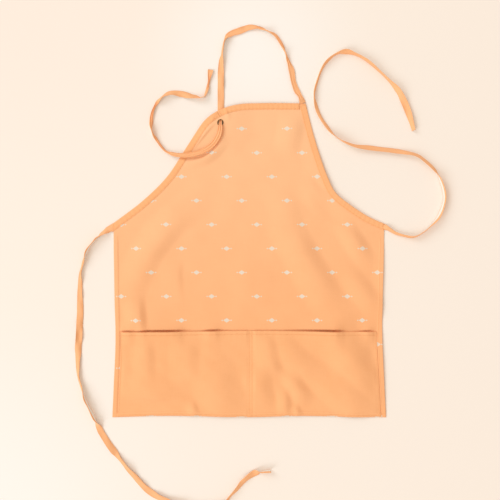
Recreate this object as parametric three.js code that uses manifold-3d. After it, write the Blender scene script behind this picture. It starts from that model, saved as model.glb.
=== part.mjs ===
// A canvas bib apron laid flat on a surface with its front side up.
// Millimetres, +Z up, +Y towards the bib, origin on the surface under the middle of the body.
import * as THREE from 'three';
import Module from 'manifold-3d';
import { mergeVertices } from 'three/addons/utils/BufferGeometryUtils.js';

// Cloth and tape
const CANVAS = 1.0;
const TAPE_WALL = 1.0;
const LAYER_GAP = 0.4;
const BINDING_WIDTH = 14;
const STRAP_WIDTH = 15;
const STRAP_THICKNESS = 1.6;
const GATHER_BULK = 0.8;
const BINDING_JOIN = 0.004; // share of the bib edge left open at each side of the corner join

// Body outline
const SKIRT_WIDTH = 612;
const BODY_BOTTOM = -352;
const HEM_WIDTH = 9;
const HEM_SLOPE = 2.5;
const SIDE_HEM_START = 45;
const SIDE_HEM_RUN_IN = 40;

// Pocket
const POCKET_MOUTH = -157.5;
const POCKET_SIDE_INSET = 12;
const POCKET_BOTTOM_INSET = 2;
const POCKET_GAP = 0.3;
const MOUTH_HEM = 8;
const MOUTH_HEM_SLOPE = 1.5;
const DIVIDER_LEFT = 0.5;
const DIVIDER_RIGHT = 6.5;
const GAPE = 12;
const GAPE_DEPTH = 150;
const GAPE_TAPER = 1.2;
const LEFT_CROWN = 0.203; // share of the pocket's width where the left half stands most open
const RIGHT_CROWN = 0.788;

// Eyelet, and the place where the strap passes under the bib to reach it
const EYELET = { x: -64.3, y: 307.6, hole: 5.6, barrel: 0.6, flange: 8, wall: 0.6 };
const CROSSING = { x: -63.4, top: 350, bottom: 300, core: 20, fade: 60, lift: 4.4 };

// How far the bound edges lie raised, so that the tape's back leg fits under the canvas
const UNDER_TAPE = TAPE_WALL + LAYER_GAP;
const EDGE_FLAT = 16;
const EDGE_FADE = 30;

// Mesh density
const PANEL_COLUMNS = 26;
const SKIRT_ROWS = 15;
const BIB_ROWS = 20;
const CROWN_COLUMNS = 6;
const POCKET_ROWS = 8;
const EYELET_SIDES = 24;
const BINDING_STEPS = 4;
const STRAP_STEPS = 2;
const EDGE_SAMPLES = 90;
const FOLD_SAMPLES = 48;
const SEARCH_TURNS = 40;
const MERGE_DISTANCE = 1e-4;

// Side edges of the skirt, from the hem up to the waist corners
const SIDE_EDGES = [
  { y: -352, left: -306, right: 306 },
  { y: -279, left: -303, right: 302 },
  { y: -180, left: -299, right: 297.5 },
  { y: -88, left: -301, right: 298 },
  { y: 20, left: -303, right: 301 },
];

// Lower edge of the skirt: how far it rises above the lowest line
const BOTTOM_EDGE = [
  { x: -306, rise: 0 },
  { x: -180, rise: 3.5 },
  { x: 0, rise: 1 },
  { x: 115, rise: 3.5 },
  { x: 230, rise: 1 },
  { x: 306, rise: 0 },
];

// Left armhole edge from the waist corner, running on round the bib corner into the top edge
const BIB_EDGE = [
  { x: -304, y: 83.5 },
  { x: -238, y: 135 },
  { x: -184, y: 189 },
  { x: -137, y: 260.5 },
  { x: -99, y: 314.5 },
  { x: -72, y: 334 },
  { x: -50, y: 343 },
  { x: -18, y: 350 },
  { x: 29, y: 352 },
  { x: 127, y: 352 },
];
const BIB_CORNER_ROW = 5;

// Right armhole edge from the waist corner to the bib corner
const RIGHT_ARMHOLE = [
  { x: 302, y: 82.5 },
  { x: 268, y: 98.5 },
  { x: 225, y: 126 },
  { x: 193, y: 153 },
  { x: 175, y: 189 },
  { x: 155, y: 247 },
  { x: 140, y: 300 },
  { x: 127, y: 352 },
];
const TOP_BINDING_END = 109;

// Soft folds: a ridge bends from its start past its middle to its end
const BODY_FOLDS = [
  { name: 'left hip', x0: -118, y0: 112, xm: -225, ym: 55, x1: -266, y1: -95, half: 34, height: 4.5 },
  { name: 'right hip', x0: 108, y0: 66, xm: 140, ym: -20, x1: 222, y1: -122, half: 36, height: 5 },
  { name: 'right waist', x0: 216, y0: 60, xm: 252, ym: 22, x1: 274, y1: -30, half: 24, height: 2.5 },
  { name: 'bib', x0: 96, y0: 322, xm: 84, ym: 262, x1: 72, y1: 205, half: 28, height: 3 },
  { name: 'right edge', x0: 302, y0: 40, xm: 300, ym: -50, x1: 298, y1: -138, half: 34, height: 4 },
  { name: 'left mouth', x0: -245, y0: -92, xm: -247, ym: -122, x1: -244, y1: -150, half: 17, height: 2 },
];
const POCKET_FOLDS = [
  { name: 'left', x0: -230, y0: -160, xm: -228, ym: -215, x1: -234, y1: -285, half: 24, height: 3 },
  { name: 'left middle', x0: -128, y0: -162, xm: -142, ym: -208, x1: -132, y1: -275, half: 24, height: 3 },
  { name: 'divider', x0: 32, y0: -166, xm: 46, ym: -212, x1: 54, y1: -272, half: 18, height: 3 },
  { name: 'right', x0: 152, y0: -178, xm: 205, ym: -252, x1: 270, y1: -330, half: 36, height: 4 },
];

// Straps: route, roll from flat to on edge in degrees, height of the lowest edge,
// and how far the tape is gathered where it goes through the eyelet
const NECK_STRAP = [
  { x: 120.1, y: 350.8, roll: 0, under: 2.8 },
  { x: 117.8, y: 359.5, roll: 8, under: 2.2 },
  { x: 112, y: 370, roll: 26, under: 0.4 },
  { x: 102, y: 393, roll: 42, under: 0 },
  { x: 89, y: 420, roll: 36, under: 0 },
  { x: 78, y: 455, roll: 78, under: 0 },
  { x: 62, y: 484.5, roll: 52, under: 0 },
  { x: 43, y: 506.5, roll: 78, under: 0 },
  { x: 20, y: 519, roll: 86, under: 0 },
  { x: 2, y: 522, roll: 62, under: 0 },
  { x: -17, y: 519.5, roll: 42, under: 0 },
  { x: -34, y: 511.5, roll: 34, under: 0 },
  { x: -47.5, y: 501, roll: 52, under: 0 },
  { x: -55.5, y: 484, roll: 86, under: 0 },
  { x: -62, y: 444, roll: 40, under: 0 },
  { x: -63, y: 415, roll: 8, under: 0 },
  { x: -63.5, y: 338, roll: 0, under: 0 },
  { x: -63.9, y: 323, roll: 0, under: 0, gather: 0.8 },
  { x: -64.2, y: 316, roll: 0, under: 0.05, gather: 0.55 },
  { x: -64.3, y: 312, roll: 0, under: 0.1, gather: 0.45 },
  { x: -64.3, y: 307.6, roll: 0, under: 3.5, gather: 0.45 },
  { x: -64.3, y: 303.2, roll: 0, under: 6.9, gather: 0.45 },
  { x: -63.5, y: 296.5, roll: 20, under: 7.3, gather: 0.6 },
  { x: -64.5, y: 283, roll: 45, under: 6.6, gather: 0.85 },
  { x: -71, y: 266.5, roll: 58, under: 5.5 },
  { x: -86, y: 252, roll: 62, under: 4.2 },
  { x: -110, y: 241, roll: 60, under: 3.8 },
  { x: -134, y: 236, roll: 57, under: 4.2 },
  { x: -158, y: 235, roll: 54, under: 4.2 },
  { x: -176, y: 239, roll: 60, under: 1.2 },
  { x: -190, y: 251, roll: 78, under: 0 },
  { x: -214, y: 292, roll: 60, under: 0 },
  { x: -218.5, y: 316, roll: 44, under: 0 },
  { x: -214, y: 342, roll: 76, under: 0 },
  { x: -200, y: 361, roll: 88, under: 0 },
  { x: -178, y: 373.5, roll: 42, under: 0 },
  { x: -155, y: 375.5, roll: 10, under: 0 },
  { x: -128, y: 369, roll: 22, under: 0 },
  { x: -104, y: 365.5, roll: 74, under: 0 },
  { x: -96.5, y: 373, roll: 84, under: 0 },
  { x: -86, y: 426, roll: 40, under: 0 },
];
const TIE_RIGHT = [
  { x: 299.5, y: 76, roll: 0, under: 2.8 },
  { x: 312, y: 69.5, roll: 10, under: 2.6 },
  { x: 327, y: 61.5, roll: 45, under: 0.6 },
  { x: 347, y: 53.5, roll: 70, under: 0 },
  { x: 371, y: 51.5, roll: 76, under: 0 },
  { x: 399, y: 70, roll: 72, under: 0 },
  { x: 426, y: 101, roll: 74, under: 0 },
  { x: 440, y: 135, roll: 80, under: 0 },
  { x: 442, y: 155, roll: 84, under: 0 },
  { x: 436, y: 180, roll: 78, under: 0 },
  { x: 420, y: 207, roll: 72, under: 0 },
  { x: 396, y: 227, roll: 70, under: 0 },
  { x: 371, y: 238, roll: 68, under: 0 },
  { x: 315, y: 247, roll: 64, under: 0 },
  { x: 270, y: 250.5, roll: 68, under: 0 },
  { x: 230, y: 258, roll: 64, under: 0 },
  { x: 197, y: 278.5, roll: 58, under: 0 },
  { x: 169.5, y: 314, roll: 42, under: 0 },
  { x: 154, y: 341, roll: 50, under: 0 },
  { x: 147, y: 370, roll: 74, under: 0 },
  { x: 149.5, y: 399, roll: 82, under: 0 },
  { x: 158, y: 425, roll: 76, under: 0 },
  { x: 170, y: 446, roll: 66, under: 0 },
  { x: 192, y: 464, roll: 56, under: 0 },
  { x: 216.5, y: 471, roll: 52, under: 0 },
  { x: 243, y: 464, roll: 52, under: 0 },
  { x: 275, y: 439.5, roll: 46, under: 0 },
  { x: 310.5, y: 404, roll: 36, under: 0 },
  { x: 330.5, y: 377, roll: 16, under: 0 },
  { x: 351, y: 341, roll: 0, under: 0 },
  { x: 368.5, y: 292, roll: 20, under: 0 },
];
const TIE_LEFT = [
  { x: -300.1, y: 77.7, roll: 0, under: 2.8 },
  { x: -313, y: 68.5, roll: 10, under: 2.6 },
  { x: -327, y: 60.5, roll: 50, under: 0.6 },
  { x: -344, y: 47, roll: 76, under: 0 },
  { x: -363, y: 23.5, roll: 72, under: 0 },
  { x: -376.5, y: -21, roll: 68, under: 0 },
  { x: -380, y: -66, roll: 60, under: 0 },
  { x: -379, y: -111, roll: 30, under: 0 },
  { x: -381, y: -156, roll: 6, under: 0 },
  { x: -382, y: -200, roll: 14, under: 0 },
  { x: -384, y: -234, roll: 34, under: 0 },
  { x: -381, y: -263, roll: 60, under: 0 },
  { x: -368, y: -316, roll: 78, under: 0 },
  { x: -348, y: -353, roll: 72, under: 0 },
  { x: -332, y: -386, roll: 62, under: 0 },
  { x: -307, y: -424, roll: 52, under: 0 },
  { x: -289, y: -446.5, roll: 50, under: 0 },
  { x: -265, y: -473, roll: 48, under: 0 },
  { x: -242, y: -499, roll: 44, under: 0 },
  { x: -221, y: -516, roll: 40, under: 0 },
  { x: -192, y: -530, roll: 40, under: 0 },
  { x: -155, y: -545, roll: 40, under: 0 },
  { x: -115, y: -554, roll: 44, under: 0 },
  { x: -79, y: -551.5, roll: 50, under: 0 },
  { x: -56, y: -543, roll: 54, under: 0 },
  { x: -43, y: -531, roll: 54, under: 0 },
  { x: -29.5, y: -509, roll: 52, under: 0 },
  { x: -14, y: -491, roll: 46, under: 0 },
  { x: 10.5, y: -473.5, roll: 42, under: 0 },
  { x: 28.5, y: -467, roll: 38, under: 0 },
  { x: 46.5, y: -464.5, roll: 34, under: 0 },
];

const { clamp, degToRad, lerp } = THREE.MathUtils;
const smooth = (share) => THREE.MathUtils.smoothstep(share, 0, 1);

// Curves in plan
function planCurve(points) {
  const places = points.map((point) => new THREE.Vector3(point.x, point.y, 0));
  return new THREE.CatmullRomCurve3(places, false, 'centripetal');
}

const bibEdge = planCurve(BIB_EDGE);
const rightArmhole = planCurve(RIGHT_ARMHOLE);
const leftSide = planCurve(SIDE_EDGES.map(({ y, left }) => ({ x: left, y })));
const rightSide = planCurve(SIDE_EDGES.map(({ y, right }) => ({ x: right, y })));
const bottomEdge = planCurve(BOTTOM_EDGE.map(({ x, rise }) => ({ x, y: BODY_BOTTOM + rise })));
const bibCornerAt = BIB_CORNER_ROW / (BIB_EDGE.length - 1);

// Share of a curve where one coordinate reaches a value, for a curve that rises steadily in it
function shareAt(curve, axis, value, from = 0, to = 1) {
  let low = from;
  let high = to;
  const rising = curve.getPoint(to)[axis] > curve.getPoint(from)[axis];
  for (let turn = 0; turn < SEARCH_TURNS; turn += 1) {
    const middle = (low + high) / 2;
    const short = curve.getPoint(middle)[axis] < value;
    if (short === rising) low = middle;
    else high = middle;
  }
  return (low + high) / 2;
}

// Point of an edge moved towards the cloth; side is +1 where the cloth lies right of the way along it
function insetPoint(curve, share, distance, side) {
  const point = curve.getPoint(share);
  const way = curve.getTangent(share);
  return new THREE.Vector3(point.x + side * way.y * distance, point.y - side * way.x * distance, 0);
}

const CLOTH_RIGHT = 1;
const CLOTH_LEFT = -1;

// Heights of the cloth above the surface
const boundEdgePoints = [...bibEdge.getPoints(EDGE_SAMPLES), ...rightArmhole.getPoints(EDGE_SAMPLES)];

function edgeLift(x, y) {
  const away = Math.min(...boundEdgePoints.map((point) => Math.hypot(point.x - x, point.y - y)));
  return UNDER_TAPE * (1 - smooth((away - EDGE_FLAT) / EDGE_FADE));
}

function crossingShare(x, y) {
  const along = clamp(y, CROSSING.bottom, CROSSING.top);
  const away = Math.hypot(x - CROSSING.x, y - along);
  return 1 - smooth((away - CROSSING.core) / CROSSING.fade);
}

// A fold's ridge is a bent line; its height falls off to each side and towards both ends
function foldHeight(fold, x, y) {
  const start = new THREE.Vector2(fold.x0, fold.y0);
  const middle = new THREE.Vector2(fold.xm, fold.ym);
  const end = new THREE.Vector2(fold.x1, fold.y1);
  const bend = middle.clone().multiplyScalar(2).sub(start.clone().add(end).multiplyScalar(0.5));
  const ridge = new THREE.QuadraticBezierCurve(start, bend, end).getPoints(FOLD_SAMPLES);
  const ways = ridge.map((point) => Math.hypot(point.x - x, point.y - y));
  const away = Math.min(...ways);
  const share = ways.indexOf(away) / (ridge.length - 1);
  const across = Math.max(0, 1 - (away / fold.half) ** 2);
  return fold.height * across ** 2 * Math.sin(Math.PI * share);
}

const foldsAt = (folds, x, y) => folds.reduce((sum, fold) => sum + foldHeight(fold, x, y), 0);

// Height of the canvas underside
function lift(x, y) {
  const raised = lerp(edgeLift(x, y), CROSSING.lift, crossingShare(x, y));
  return raised + foldsAt(BODY_FOLDS, x, y);
}

// Closed geometry from vertices and triangles, turned so that its faces point out
function solidGeometry(vertices, triangles) {
  const position = new Float32Array(vertices.flatMap((vertex) => [vertex.x, vertex.y, vertex.z]));
  const volume = triangles.reduce((sum, [a, b, c]) => {
    const normal = vertices[b].clone().cross(vertices[c]);
    return sum + vertices[a].dot(normal);
  }, 0);
  const outward = volume > 0 ? triangles : triangles.map(([a, b, c]) => [a, c, b]);
  const geometry = new THREE.BufferGeometry();
  geometry.setAttribute('position', new THREE.BufferAttribute(position, 3));
  geometry.setIndex(outward.flat());
  geometry.computeVertexNormals();
  return geometry;
}

// A sheet of cloth: a grid of places with an underside and a top, closed round its rim
function sheetGeometry(columns, rows, placeAt) {
  const places = rows.flatMap((v) => columns.map((u) => placeAt(u, v)));
  const tops = places.map(({ x, y, top }) => new THREE.Vector3(x, y, top));
  const undersides = places.map(({ x, y, under }) => new THREE.Vector3(x, y, under));
  const across = columns.length;
  const below = places.length;
  const triangles = [];
  for (let row = 0; row + 1 < rows.length; row += 1) {
    for (let column = 0; column + 1 < across; column += 1) {
      const a = row * across + column;
      const [b, c, d] = [a + 1, a + across + 1, a + across];
      triangles.push([a, b, c], [a, c, d]);
      triangles.push([below + a, below + c, below + b], [below + a, below + d, below + c]);
    }
  }
  const last = below - across;
  const rim = [
    ...columns.map((_, column) => column),
    ...rows.slice(1).map((_, row) => (row + 2) * across - 1),
    ...columns.slice(1).map((_, column) => last + across - 2 - column),
    ...rows.slice(1, -1).map((_, row) => last - (row + 1) * across),
  ];
  rim.forEach((p, place) => {
    const q = rim[(place + 1) % rim.length];
    triangles.push([below + p, below + q, q], [below + p, q, p]);
  });
  return solidGeometry([...tops, ...undersides], triangles);
}

// A profile carried along a path: one ring of vertices for each section, capped at both ends
function loftGeometry(sections, profile) {
  const sides = profile.length;
  const triangles = [];
  for (let step = 0; step + 1 < sections.length; step += 1) {
    for (let side = 0; side < sides; side += 1) {
      const a = step * sides + side;
      const b = step * sides + ((side + 1) % sides);
      triangles.push([a, b, b + sides], [a, b + sides, a + sides]);
    }
  }
  const cap = THREE.ShapeUtils.triangulateShape(profile, []);
  const first = cap.map(([a, b, c]) => [a, c, b]);
  const end = (sections.length - 1) * sides;
  const last = cap.map(([a, b, c]) => [end + a, end + b, end + c]);
  const facing = THREE.ShapeUtils.isClockWise(profile) ? 1 : -1;
  const caps = [...first, ...last].map(([a, b, c]) => (facing > 0 ? [a, c, b] : [a, b, c]));
  return solidGeometry(sections.flat(), [...triangles, ...caps]);
}

const evenly = (count) => Array.from({ length: count + 1 }, (_, step) => step / count);

// Body panel

const waistShare = SKIRT_ROWS / (SKIRT_ROWS + BIB_ROWS);
const panelInset = TAPE_WALL + 2 * LAYER_GAP;
const topRight = new THREE.Vector3(
  BIB_EDGE.at(-1).x - panelInset,
  BIB_EDGE.at(-1).y - panelInset,
  0,
);
const leftWaist = insetPoint(bibEdge, 0, panelInset, CLOTH_RIGHT);
const rightWaist = insetPoint(rightArmhole, 0, panelInset, CLOTH_LEFT);
const topLeft = insetPoint(bibEdge, bibCornerAt, panelInset, CLOTH_RIGHT);

// One long side of the panel: the skirt's side edge, then the armhole
function panelSide(v, side, waist, armhole, cloth, armholeEnd, corner) {
  if (v >= 1) return corner.clone();
  if (v <= waistShare) {
    const y = lerp(BODY_BOTTOM, waist.y, v / waistShare);
    const steady = SIDE_EDGES.at(-1).y;
    if (y <= steady) return side.getPoint(shareAt(side, 'y', y));
    const top = side.getPoint(1);
    return top.lerp(waist, (y - steady) / (waist.y - steady));
  }
  const share = (v - waistShare) / (1 - waistShare);
  const y = lerp(waist.y, corner.y, share);
  const low = armhole.getPoint(0).y;
  const high = armhole.getPoint(armholeEnd).y;
  const place = shareAt(armhole, 'y', lerp(low, high, (y - waist.y) / (corner.y - waist.y)), 0, armholeEnd);
  return insetPoint(armhole, place, panelInset, cloth);
}

function panelTop(u) {
  if (u >= 1) return topRight.clone();
  const x = lerp(BIB_EDGE[BIB_CORNER_ROW].x, BIB_EDGE.at(-1).x, u);
  return insetPoint(bibEdge, shareAt(bibEdge, 'x', x, bibCornerAt, 1), panelInset, CLOTH_RIGHT);
}

function panelBottom(u) {
  const x = lerp(-SKIRT_WIDTH / 2, SKIRT_WIDTH / 2, u);
  return bottomEdge.getPoint(shareAt(bottomEdge, 'x', x));
}

// How much of the turned hem lies at a place, 0 to 1, from its distance to the edge
const hemShare = (distance) => clamp((HEM_WIDTH + HEM_SLOPE - distance) / HEM_SLOPE, 0, 1);

// The panel's four edges are blended across it
function panelPlace(u, v) {
  const left = panelSide(v, leftSide, leftWaist, bibEdge, CLOTH_RIGHT, bibCornerAt, topLeft);
  const right = panelSide(v, rightSide, rightWaist, rightArmhole, CLOTH_LEFT, 1, topRight);
  const between = left.lerp(right, u);
  const upright = panelBottom(u).lerp(panelTop(u), v);
  const corners = panelBottom(0).lerp(panelBottom(1), u).lerp(topLeft.clone().lerp(topRight, u), v);
  const { x, y } = between.add(upright).sub(corners);
  const sideRun = clamp((SIDE_HEM_START - y) / SIDE_HEM_RUN_IN, 0, 1);
  const sideHem = hemShare(Math.min(u, 1 - u) * SKIRT_WIDTH) * sideRun;
  const bottomHem = hemShare((v / waistShare) * (leftWaist.y - BODY_BOTTOM));
  const under = lift(x, y);
  return { x, y, under, top: under + CANVAS * (1 + Math.max(sideHem, bottomHem)) };
}

function panelGeometry() {
  const hem = HEM_WIDTH / SKIRT_WIDTH;
  const inner = (HEM_WIDTH + HEM_SLOPE) / SKIRT_WIDTH;
  const middle = evenly(PANEL_COLUMNS).map((share) => lerp(inner, 1 - inner, share));
  const columns = [0, hem, ...middle, 1 - hem, 1];
  const skirt = leftWaist.y - BODY_BOTTOM;
  const hemRow = (HEM_WIDTH / skirt) * waistShare;
  const innerRow = ((HEM_WIDTH + HEM_SLOPE) / skirt) * waistShare;
  const skirtRows = evenly(SKIRT_ROWS).map((share) => lerp(innerRow, waistShare, share));
  const bibRows = evenly(BIB_ROWS).slice(1).map((share) => lerp(waistShare, 1, share));
  return sheetGeometry(columns, [0, hemRow, ...skirtRows, ...bibRows], panelPlace);
}

// A closed mesh as a solid that can be cut
function toSolid(wasm, geometry) {
  const bare = geometry.clone();
  bare.deleteAttribute('normal');
  bare.deleteAttribute('uv');
  const merged = mergeVertices(bare, MERGE_DISTANCE);
  const vertProperties = new Float32Array(merged.attributes.position.array);
  const triVerts = new Uint32Array(merged.index.array);
  return new wasm.Manifold(new wasm.Mesh({ numProp: 3, vertProperties, triVerts }));
}

function fromSolid(solid) {
  const mesh = solid.getMesh();
  const geometry = new THREE.BufferGeometry();
  geometry.setAttribute('position', new THREE.BufferAttribute(mesh.vertProperties, 3));
  geometry.setIndex(new THREE.BufferAttribute(mesh.triVerts, 1));
  geometry.computeVertexNormals();
  return geometry;
}

// The panel with the hole that the eyelet's barrel goes through
function bodyGeometry(wasm) {
  const radius = EYELET.hole + EYELET.barrel + LAYER_GAP;
  const punch = new THREE.CylinderGeometry(radius, radius, CROSSING.lift, EYELET_SIDES);
  punch.rotateX(Math.PI / 2);
  punch.translate(EYELET.x, EYELET.y, CROSSING.lift + CANVAS / 2);
  return fromSolid(toSolid(wasm, panelGeometry()).subtract(toSolid(wasm, punch)));
}

// Pocket

const pocketWidth = SKIRT_WIDTH - 2 * POCKET_SIDE_INSET;
const dividerFrom = 0.5 + DIVIDER_LEFT / pocketWidth;
const dividerTo = 0.5 + DIVIDER_RIGHT / pocketWidth;
const POCKET_HALVES = [
  { from: 0, crown: LEFT_CROWN, to: dividerFrom },
  { from: dividerTo, crown: RIGHT_CROWN, to: 1 },
];

// How far the mouth stands open: the cloth falls away straight from the crown of its half
function gapeAt(share, y) {
  const half = POCKET_HALVES.find(({ from, to }) => share > from && share < to);
  if (!half) return 0;
  const reach = share < half.crown ? half.crown - half.from : half.to - half.crown;
  const across = 1 - Math.abs(share - half.crown) / reach;
  const down = 1 - (POCKET_MOUTH - y) / GAPE_DEPTH;
  return GAPE * Math.max(0, across + down - 1) ** GAPE_TAPER;
}

function pocketPlace(share, height) {
  const guess = lerp(-SKIRT_WIDTH / 2, SKIRT_WIDTH / 2, share);
  const base = bottomEdge.getPoint(shareAt(bottomEdge, 'x', guess)).y;
  const y = base + POCKET_BOTTOM_INSET + height * (POCKET_MOUTH - base - POCKET_BOTTOM_INSET);
  const from = leftSide.getPoint(shareAt(leftSide, 'y', y)).x + POCKET_SIDE_INSET;
  const to = rightSide.getPoint(shareAt(rightSide, 'y', y)).x - POCKET_SIDE_INSET;
  const x = lerp(from, to, share);
  const overHem = hemShare(y - base - POCKET_BOTTOM_INSET - HEM_SLOPE);
  const free = clamp(Math.min(x - from, to - x, Math.abs(x - DIVIDER_LEFT)) / HEM_WIDTH, 0, 1);
  const raised = gapeAt(share, y) + foldsAt(POCKET_FOLDS, x, y) * free;
  const under = CANVAS * (1 + overHem) + POCKET_GAP + raised;
  const mouthHem = clamp((MOUTH_HEM + MOUTH_HEM_SLOPE - (POCKET_MOUTH - y)) / MOUTH_HEM_SLOPE, 0, 1);
  return { x, y, under, top: under + CANVAS * (1 + mouthHem) };
}

function pocketGeometry() {
  const columns = POCKET_HALVES.flatMap(({ from, crown, to }) => [
    ...evenly(CROWN_COLUMNS).map((share) => lerp(from, crown, share)),
    ...evenly(CROWN_COLUMNS).slice(1).map((share) => lerp(crown, to, share)),
  ]);
  const deep = POCKET_MOUTH - BODY_BOTTOM - POCKET_BOTTOM_INSET;
  const hemTop = (HEM_WIDTH + HEM_SLOPE) / deep;
  const hemEnd = (HEM_WIDTH + 2 * HEM_SLOPE) / deep;
  const mouthFrom = 1 - (MOUTH_HEM + MOUTH_HEM_SLOPE) / deep;
  const mouthTo = 1 - MOUTH_HEM / deep;
  const middle = evenly(POCKET_ROWS).map((share) => lerp(hemEnd, mouthFrom, share));
  return sheetGeometry(columns, [0, hemTop, ...middle, mouthTo, 1], pocketPlace);
}

// Bindings: tape folded over an edge, with a back leg, a web outside the edge and a front leg
const frontLeg = UNDER_TAPE + CANVAS + LAYER_GAP;
const BINDING_PROFILE = [
  { inward: 0, height: 0 },
  { inward: BINDING_WIDTH, height: 0 },
  { inward: BINDING_WIDTH, height: TAPE_WALL },
  { inward: TAPE_WALL, height: TAPE_WALL },
  { inward: TAPE_WALL, height: frontLeg },
  { inward: BINDING_WIDTH, height: frontLeg },
  { inward: BINDING_WIDTH, height: frontLeg + TAPE_WALL },
  { inward: 0, height: frontLeg + TAPE_WALL },
];

function bindingGeometry(curve, from, to, cloth) {
  const spans = Math.round((to - from) * (curve.points.length - 1));
  const sections = evenly(spans * BINDING_STEPS).map((share) => {
    const place = lerp(from, to, share);
    return BINDING_PROFILE.map(({ inward, height }) => {
      const { x, y } = insetPoint(curve, place, inward, cloth);
      return new THREE.Vector3(x, y, lift(x, y) - UNDER_TAPE + height);
    });
  });
  const profile = BINDING_PROFILE.map(({ inward, height }) => new THREE.Vector2(inward, height));
  return loftGeometry(sections, profile);
}

// Eyelet: front flange, barrel and back flange turned as one ring
function eyeletGeometry() {
  const { hole, barrel, flange, wall } = EYELET;
  const back = CROSSING.lift - LAYER_GAP;
  const front = CROSSING.lift + CANVAS + LAYER_GAP;
  const profile = [
    [hole, back - wall],
    [flange, back - wall],
    [flange, back],
    [hole + barrel, back],
    [hole + barrel, front],
    [flange, front],
    [flange - wall, front + wall],
    [hole, front + wall],
    [hole, back - wall],
  ].map(([radius, height]) => new THREE.Vector2(radius, height));
  const ring = new THREE.LatheGeometry(profile, EYELET_SIDES);
  ring.rotateX(Math.PI / 2);
  ring.translate(EYELET.x, EYELET.y, 0);
  return ring;
}

// Straps: a flat tape that rolls between lying flat and standing on edge
const STRAP_CORNERS = [
  { across: -1, through: -1 },
  { across: 1, through: -1 },
  { across: 1, through: 1 },
  { across: -1, through: 1 },
];

function strapGeometry(table) {
  const route = planCurve(table);
  const sections = evenly((table.length - 1) * STRAP_STEPS).map((share) => {
    const place = share * (table.length - 1);
    const row = Math.min(Math.floor(place), table.length - 2);
    const between = (column, fallback) =>
      lerp(table[row][column] ?? fallback, table[row + 1][column] ?? fallback, place - row);
    const roll = degToRad(between('roll', 0));
    const gather = between('gather', 1);
    const halfWidth = (STRAP_WIDTH * gather) / 2;
    const halfThickness = STRAP_THICKNESS / gather ** GATHER_BULK / 2;
    const tall = halfWidth * Math.sin(roll) + halfThickness * Math.cos(roll);
    const middle = route.getPoint(share);
    const way = route.getTangent(share);
    return STRAP_CORNERS.map(({ across, through }) => {
      const a = across * halfWidth;
      const b = through * halfThickness;
      const aside = a * Math.cos(roll) - b * Math.sin(roll);
      const up = a * Math.sin(roll) + b * Math.cos(roll);
      const z = between('under', 0) + tall + up;
      return new THREE.Vector3(middle.x - way.y * aside, middle.y + way.x * aside, z);
    });
  });
  const profile = STRAP_CORNERS.map(({ across, through }) => new THREE.Vector2(across, through));
  return loftGeometry(sections, profile);
}

// Finishes
const canvas = new THREE.MeshStandardMaterial({ color: 0xfcb87f, roughness: 0.92, metalness: 0 });
const tape = new THREE.MeshStandardMaterial({ color: 0xfbb274, roughness: 0.9, metalness: 0 });
const brass = new THREE.MeshStandardMaterial({ color: 0x6b5530, roughness: 0.4, metalness: 1 });

function piece(name, geometry, material) {
  const mesh = new THREE.Mesh(geometry, material);
  mesh.name = name;
  return mesh;
}

const wasm = await Module();
wasm.setup();

const topEnd = shareAt(bibEdge, 'x', TOP_BINDING_END, bibCornerAt, 1);

const apron = new THREE.Group();
apron.name = 'canvas_apron';
apron.add(
  piece('body_panel', bodyGeometry(wasm), canvas),
  piece('pocket', pocketGeometry(), canvas),
  piece('top_binding', bindingGeometry(bibEdge, bibCornerAt + BINDING_JOIN, topEnd, CLOTH_RIGHT), tape),
  piece('armhole_binding_left', bindingGeometry(bibEdge, 0, bibCornerAt - BINDING_JOIN, CLOTH_RIGHT), tape),
  piece('armhole_binding_right', bindingGeometry(rightArmhole, 0, 1, CLOTH_LEFT), tape),
  piece('eyelet', eyeletGeometry(), brass),
  piece('neck_strap', strapGeometry(NECK_STRAP), tape),
  piece('tie_left', strapGeometry(TIE_LEFT), tape),
  piece('tie_right', strapGeometry(TIE_RIGHT), tape),
);

export default apron;
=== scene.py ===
"""A canvas bib apron laid flat: its cloth, tapes, stitching and eyelet, dressed for a studio picture.

Metres in the part's own frame: +Z up, +Y towards the bib, the surface it lies on at zero.
"""

import logging
from collections.abc import Sequence
from dataclasses import dataclass, field
from enum import Enum
from functools import reduce

import bpy
import numpy as np
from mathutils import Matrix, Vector


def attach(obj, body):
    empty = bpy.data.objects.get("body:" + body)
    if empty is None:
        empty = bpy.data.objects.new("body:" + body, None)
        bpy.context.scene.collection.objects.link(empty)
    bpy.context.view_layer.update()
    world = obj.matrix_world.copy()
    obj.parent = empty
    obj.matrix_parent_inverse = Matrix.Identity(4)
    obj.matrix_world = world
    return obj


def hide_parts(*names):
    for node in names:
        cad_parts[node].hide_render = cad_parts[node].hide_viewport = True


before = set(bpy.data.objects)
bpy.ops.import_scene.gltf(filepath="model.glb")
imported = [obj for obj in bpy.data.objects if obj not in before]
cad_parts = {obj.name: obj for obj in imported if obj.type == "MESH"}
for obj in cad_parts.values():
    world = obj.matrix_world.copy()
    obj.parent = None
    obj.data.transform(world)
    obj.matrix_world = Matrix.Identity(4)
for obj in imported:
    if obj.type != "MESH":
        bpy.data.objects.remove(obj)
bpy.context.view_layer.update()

BODY = "root"

Array = np.ndarray
Colour = tuple[float, float, float]
Place = tuple[float, float]
Spot = tuple[float, float, float]

log = logging.getLogger("canvas_apron")


class ClothSide(Enum):
    """The side of an edge, as one goes along it, where the cloth lies."""

    RIGHT = 1.0
    LEFT = -1.0


class Slot(Enum):
    """The record's material slots."""

    CANVAS = "canvas"
    TAPE = "tape"
    BRASS = "eyelet_brass"


class Print(Enum):
    """What a canvas carries on its face."""

    PLAIN = "plain"
    LOZENGES = "lozenges"


# Curves and spacing

SEARCH_POINTS = 2001
SPACING_POINTS = 4001
WAY_STEP = 1e-4
RIM_SHARE = 0.25


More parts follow.
